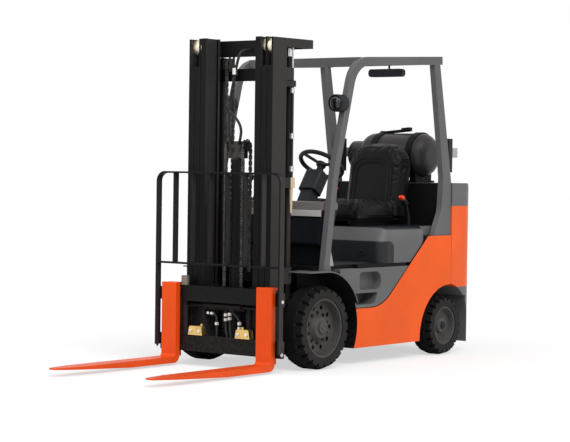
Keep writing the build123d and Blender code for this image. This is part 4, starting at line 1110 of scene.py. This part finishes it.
# %% Pedals and mat
slope = Vector((-math.sin(math.radians(50)), 0, math.cos(math.radians(50))))
for name, y, width in (("inching", -0.250, 0.070), ("brake", -0.120, 0.110), ("drive", 0.140, 0.090)):
    half = width / 2
    sheet = block((-half, -0.052, 0.0), (half, 0.052, 0.004), 0.0015)
    rib = block((-half + 0.006, -0.003, 0.003), (half - 0.006, 0.003, 0.007), 0.001)
    ribs = copies(rib, [Matrix.Translation((0, -0.042 + 0.014 * k, 0)) for k in range(7)])
    pad = copies(together(sheet, ribs), [toward(spot(-0.235, y, 0.730) + 0.0055 * slope, slope)])
    dress(pad, f"{name}_pad", hose_rubber, "chassis")

mat = block(spot(-0.655, -0.425, 0.6545), spot(-0.120, 0.425, 0.659), 0.0015)
ridge = block(spot(-0.640, -0.003, 0.658), spot(-0.140, 0.003, 0.662), 0.001)
RIDGES = 41
ridges = copies(ridge, [Matrix.Translation((0, -0.4 + 0.02 * k, 0)) for k in range(RIDGES)])
dress(together(mat, ridges), "floor_mat", hose_rubber, "chassis")
print("mat ridges:", RIDGES)

# %% Hub cap, catch and gussets
axis = Vector((-math.sin(math.radians(35)), 0, math.cos(math.radians(35))))
hub = spot(-0.659, 0, 1.308)
from_hub = [vertex.co - hub for vertex in nodes["steering_wheel"].data.vertices]
hub_top = max(step.dot(axis) for step in from_hub if (step - step.dot(axis) * axis).length < 0.036)
horn_cap = copies(cap(0.028, 0.004), [toward(hub + (hub_top - 0.001) * axis, axis)])
dress(horn_cap, "horn_cap", plastic, "steering_wheel")

CATCH_SIZE = (0.014, 0.025, 0.006)
catch = start("cylinder", vertices=36, radius=1, depth=1, scale=CATCH_SIZE, location=(0, 0, 0.003))
edit(catch, looks_up)
bpy.ops.mesh.inset(thickness=0.002, depth=0.0015)
bpy.ops.mesh.inset(thickness=0.003, depth=-0.002)
fresh()
turned = toward(spot(-0.690, 0.335, 0.719), FORWARD) @ Matrix.Rotation(math.pi / 2, 4, "Z")
dress(copies(catch, [turned]), "hood_catch", plastic, "chassis")
GUSSET_Y = 0.474
GUSSET_TOP = 0.850
for side, sign in (("left", 1), ("right", -1)):
    y = sign * GUSSET_Y
    gusset = slab(spot(-0.168, y - 0.003, 0.654), spot(-0.080, y + 0.003, GUSSET_TOP))
    edit(gusset, looks_up)
    bpy.ops.transform.resize(value=(0.3, 1, 1), center_override=spot(-0.080, y, GUSSET_TOP))
    dress(soften(gusset, 0.0015), f"pillar_gusset_{side}", leg_pale, "chassis")
print("hub top", round(hub_top, 4))

# %% [markdown]
# ## Studio
# The photograph has a seamless white background and soft, even light. Broad suns light the truck and the
# floor alike, wherever one stands, and the white sky shows only to the camera and in reflections. The
# floor is pale paper that the camera sees half lit from within, so that it stays white and still holds
# the truck's shadow.

# %% Floor
FLOOR_HALF = 60.0
PAPER_GLOW = 1.06
PAPER_SHARE = 0.55

floor = start("plane", size=2 * FLOOR_HALF, location=(0, 0, -0.001))
floor.name = "floor"
paper = Finish("floor_paper", Roughness=0.9, Specular_IOR_Level=0.0)
paper.set("Base Color", (0.86, 0.86, 0.86))
seen_by_camera = paper.node("LightPath", {}, {}, "Is Camera Ray")
glowing = paper.node("Emission", {}, {"Color": (1, 1, 1), "Strength": PAPER_GLOW})
lit = Value(paper, paper.shader.outputs[0])
mixed = paper.node("MixShader", {}, {0: seen_by_camera * PAPER_SHARE, 1: lit, 2: glowing})
paper.feed(paper.nodes["Material Output"].inputs["Surface"], mixed)
floor.data.materials.append(paper.material)
print("floor", 2 * FLOOR_HALF, "m wide")

# %% Sky
AMBIENT = 0.5
sky = bpy.data.worlds.new("studio_sky")
sky.use_nodes = True
bpy.context.scene.world = sky
sky_nodes = sky.node_tree.nodes
sky_links = sky.node_tree.links
ray = sky_nodes.new("ShaderNodeLightPath")
seen = ray.outputs["Is Camera Ray"]
for kind in ("Is Glossy Ray", "Is Transmission Ray"):
    either = sky_nodes.new("ShaderNodeMath")
    either.operation = "MAXIMUM"
    sky_links.new(seen, either.inputs[0])
    sky_links.new(ray.outputs[kind], either.inputs[1])
    seen = either.outputs[0]
glow = sky_nodes.new("ShaderNodeMapRange")
glow.inputs["To Min"].default_value = AMBIENT
glow.inputs["To Max"].default_value = 1.0
sky_links.new(seen, glow.inputs["Value"])
backdrop = sky_nodes["Background"]
backdrop.inputs["Color"].default_value = (1, 1, 1, 1)
sky_links.new(glow.outputs[0], backdrop.inputs["Strength"])
print("sky at", AMBIENT)

# %% Suns
def sun(name, direction, strength, spread):
    lamp = bpy.data.lights.new(name, "SUN")
    lamp.energy = strength
    lamp.angle = math.radians(spread)
    holder = bpy.data.objects.new(name, lamp)
    bpy.context.scene.collection.objects.link(holder)
    holder.rotation_mode = "QUATERNION"
    holder.rotation_quaternion = Vector(direction).to_track_quat("-Z", "Y")


sun("key_light", (-0.45, -0.75, -0.9), 2.2, 40)
sun("fill_light", (-0.9, 0.35, -0.8), 0.8, 60)
bpy.context.scene.view_settings.view_transform = "Standard"
print("lights:", [light.name for light in bpy.data.lights])
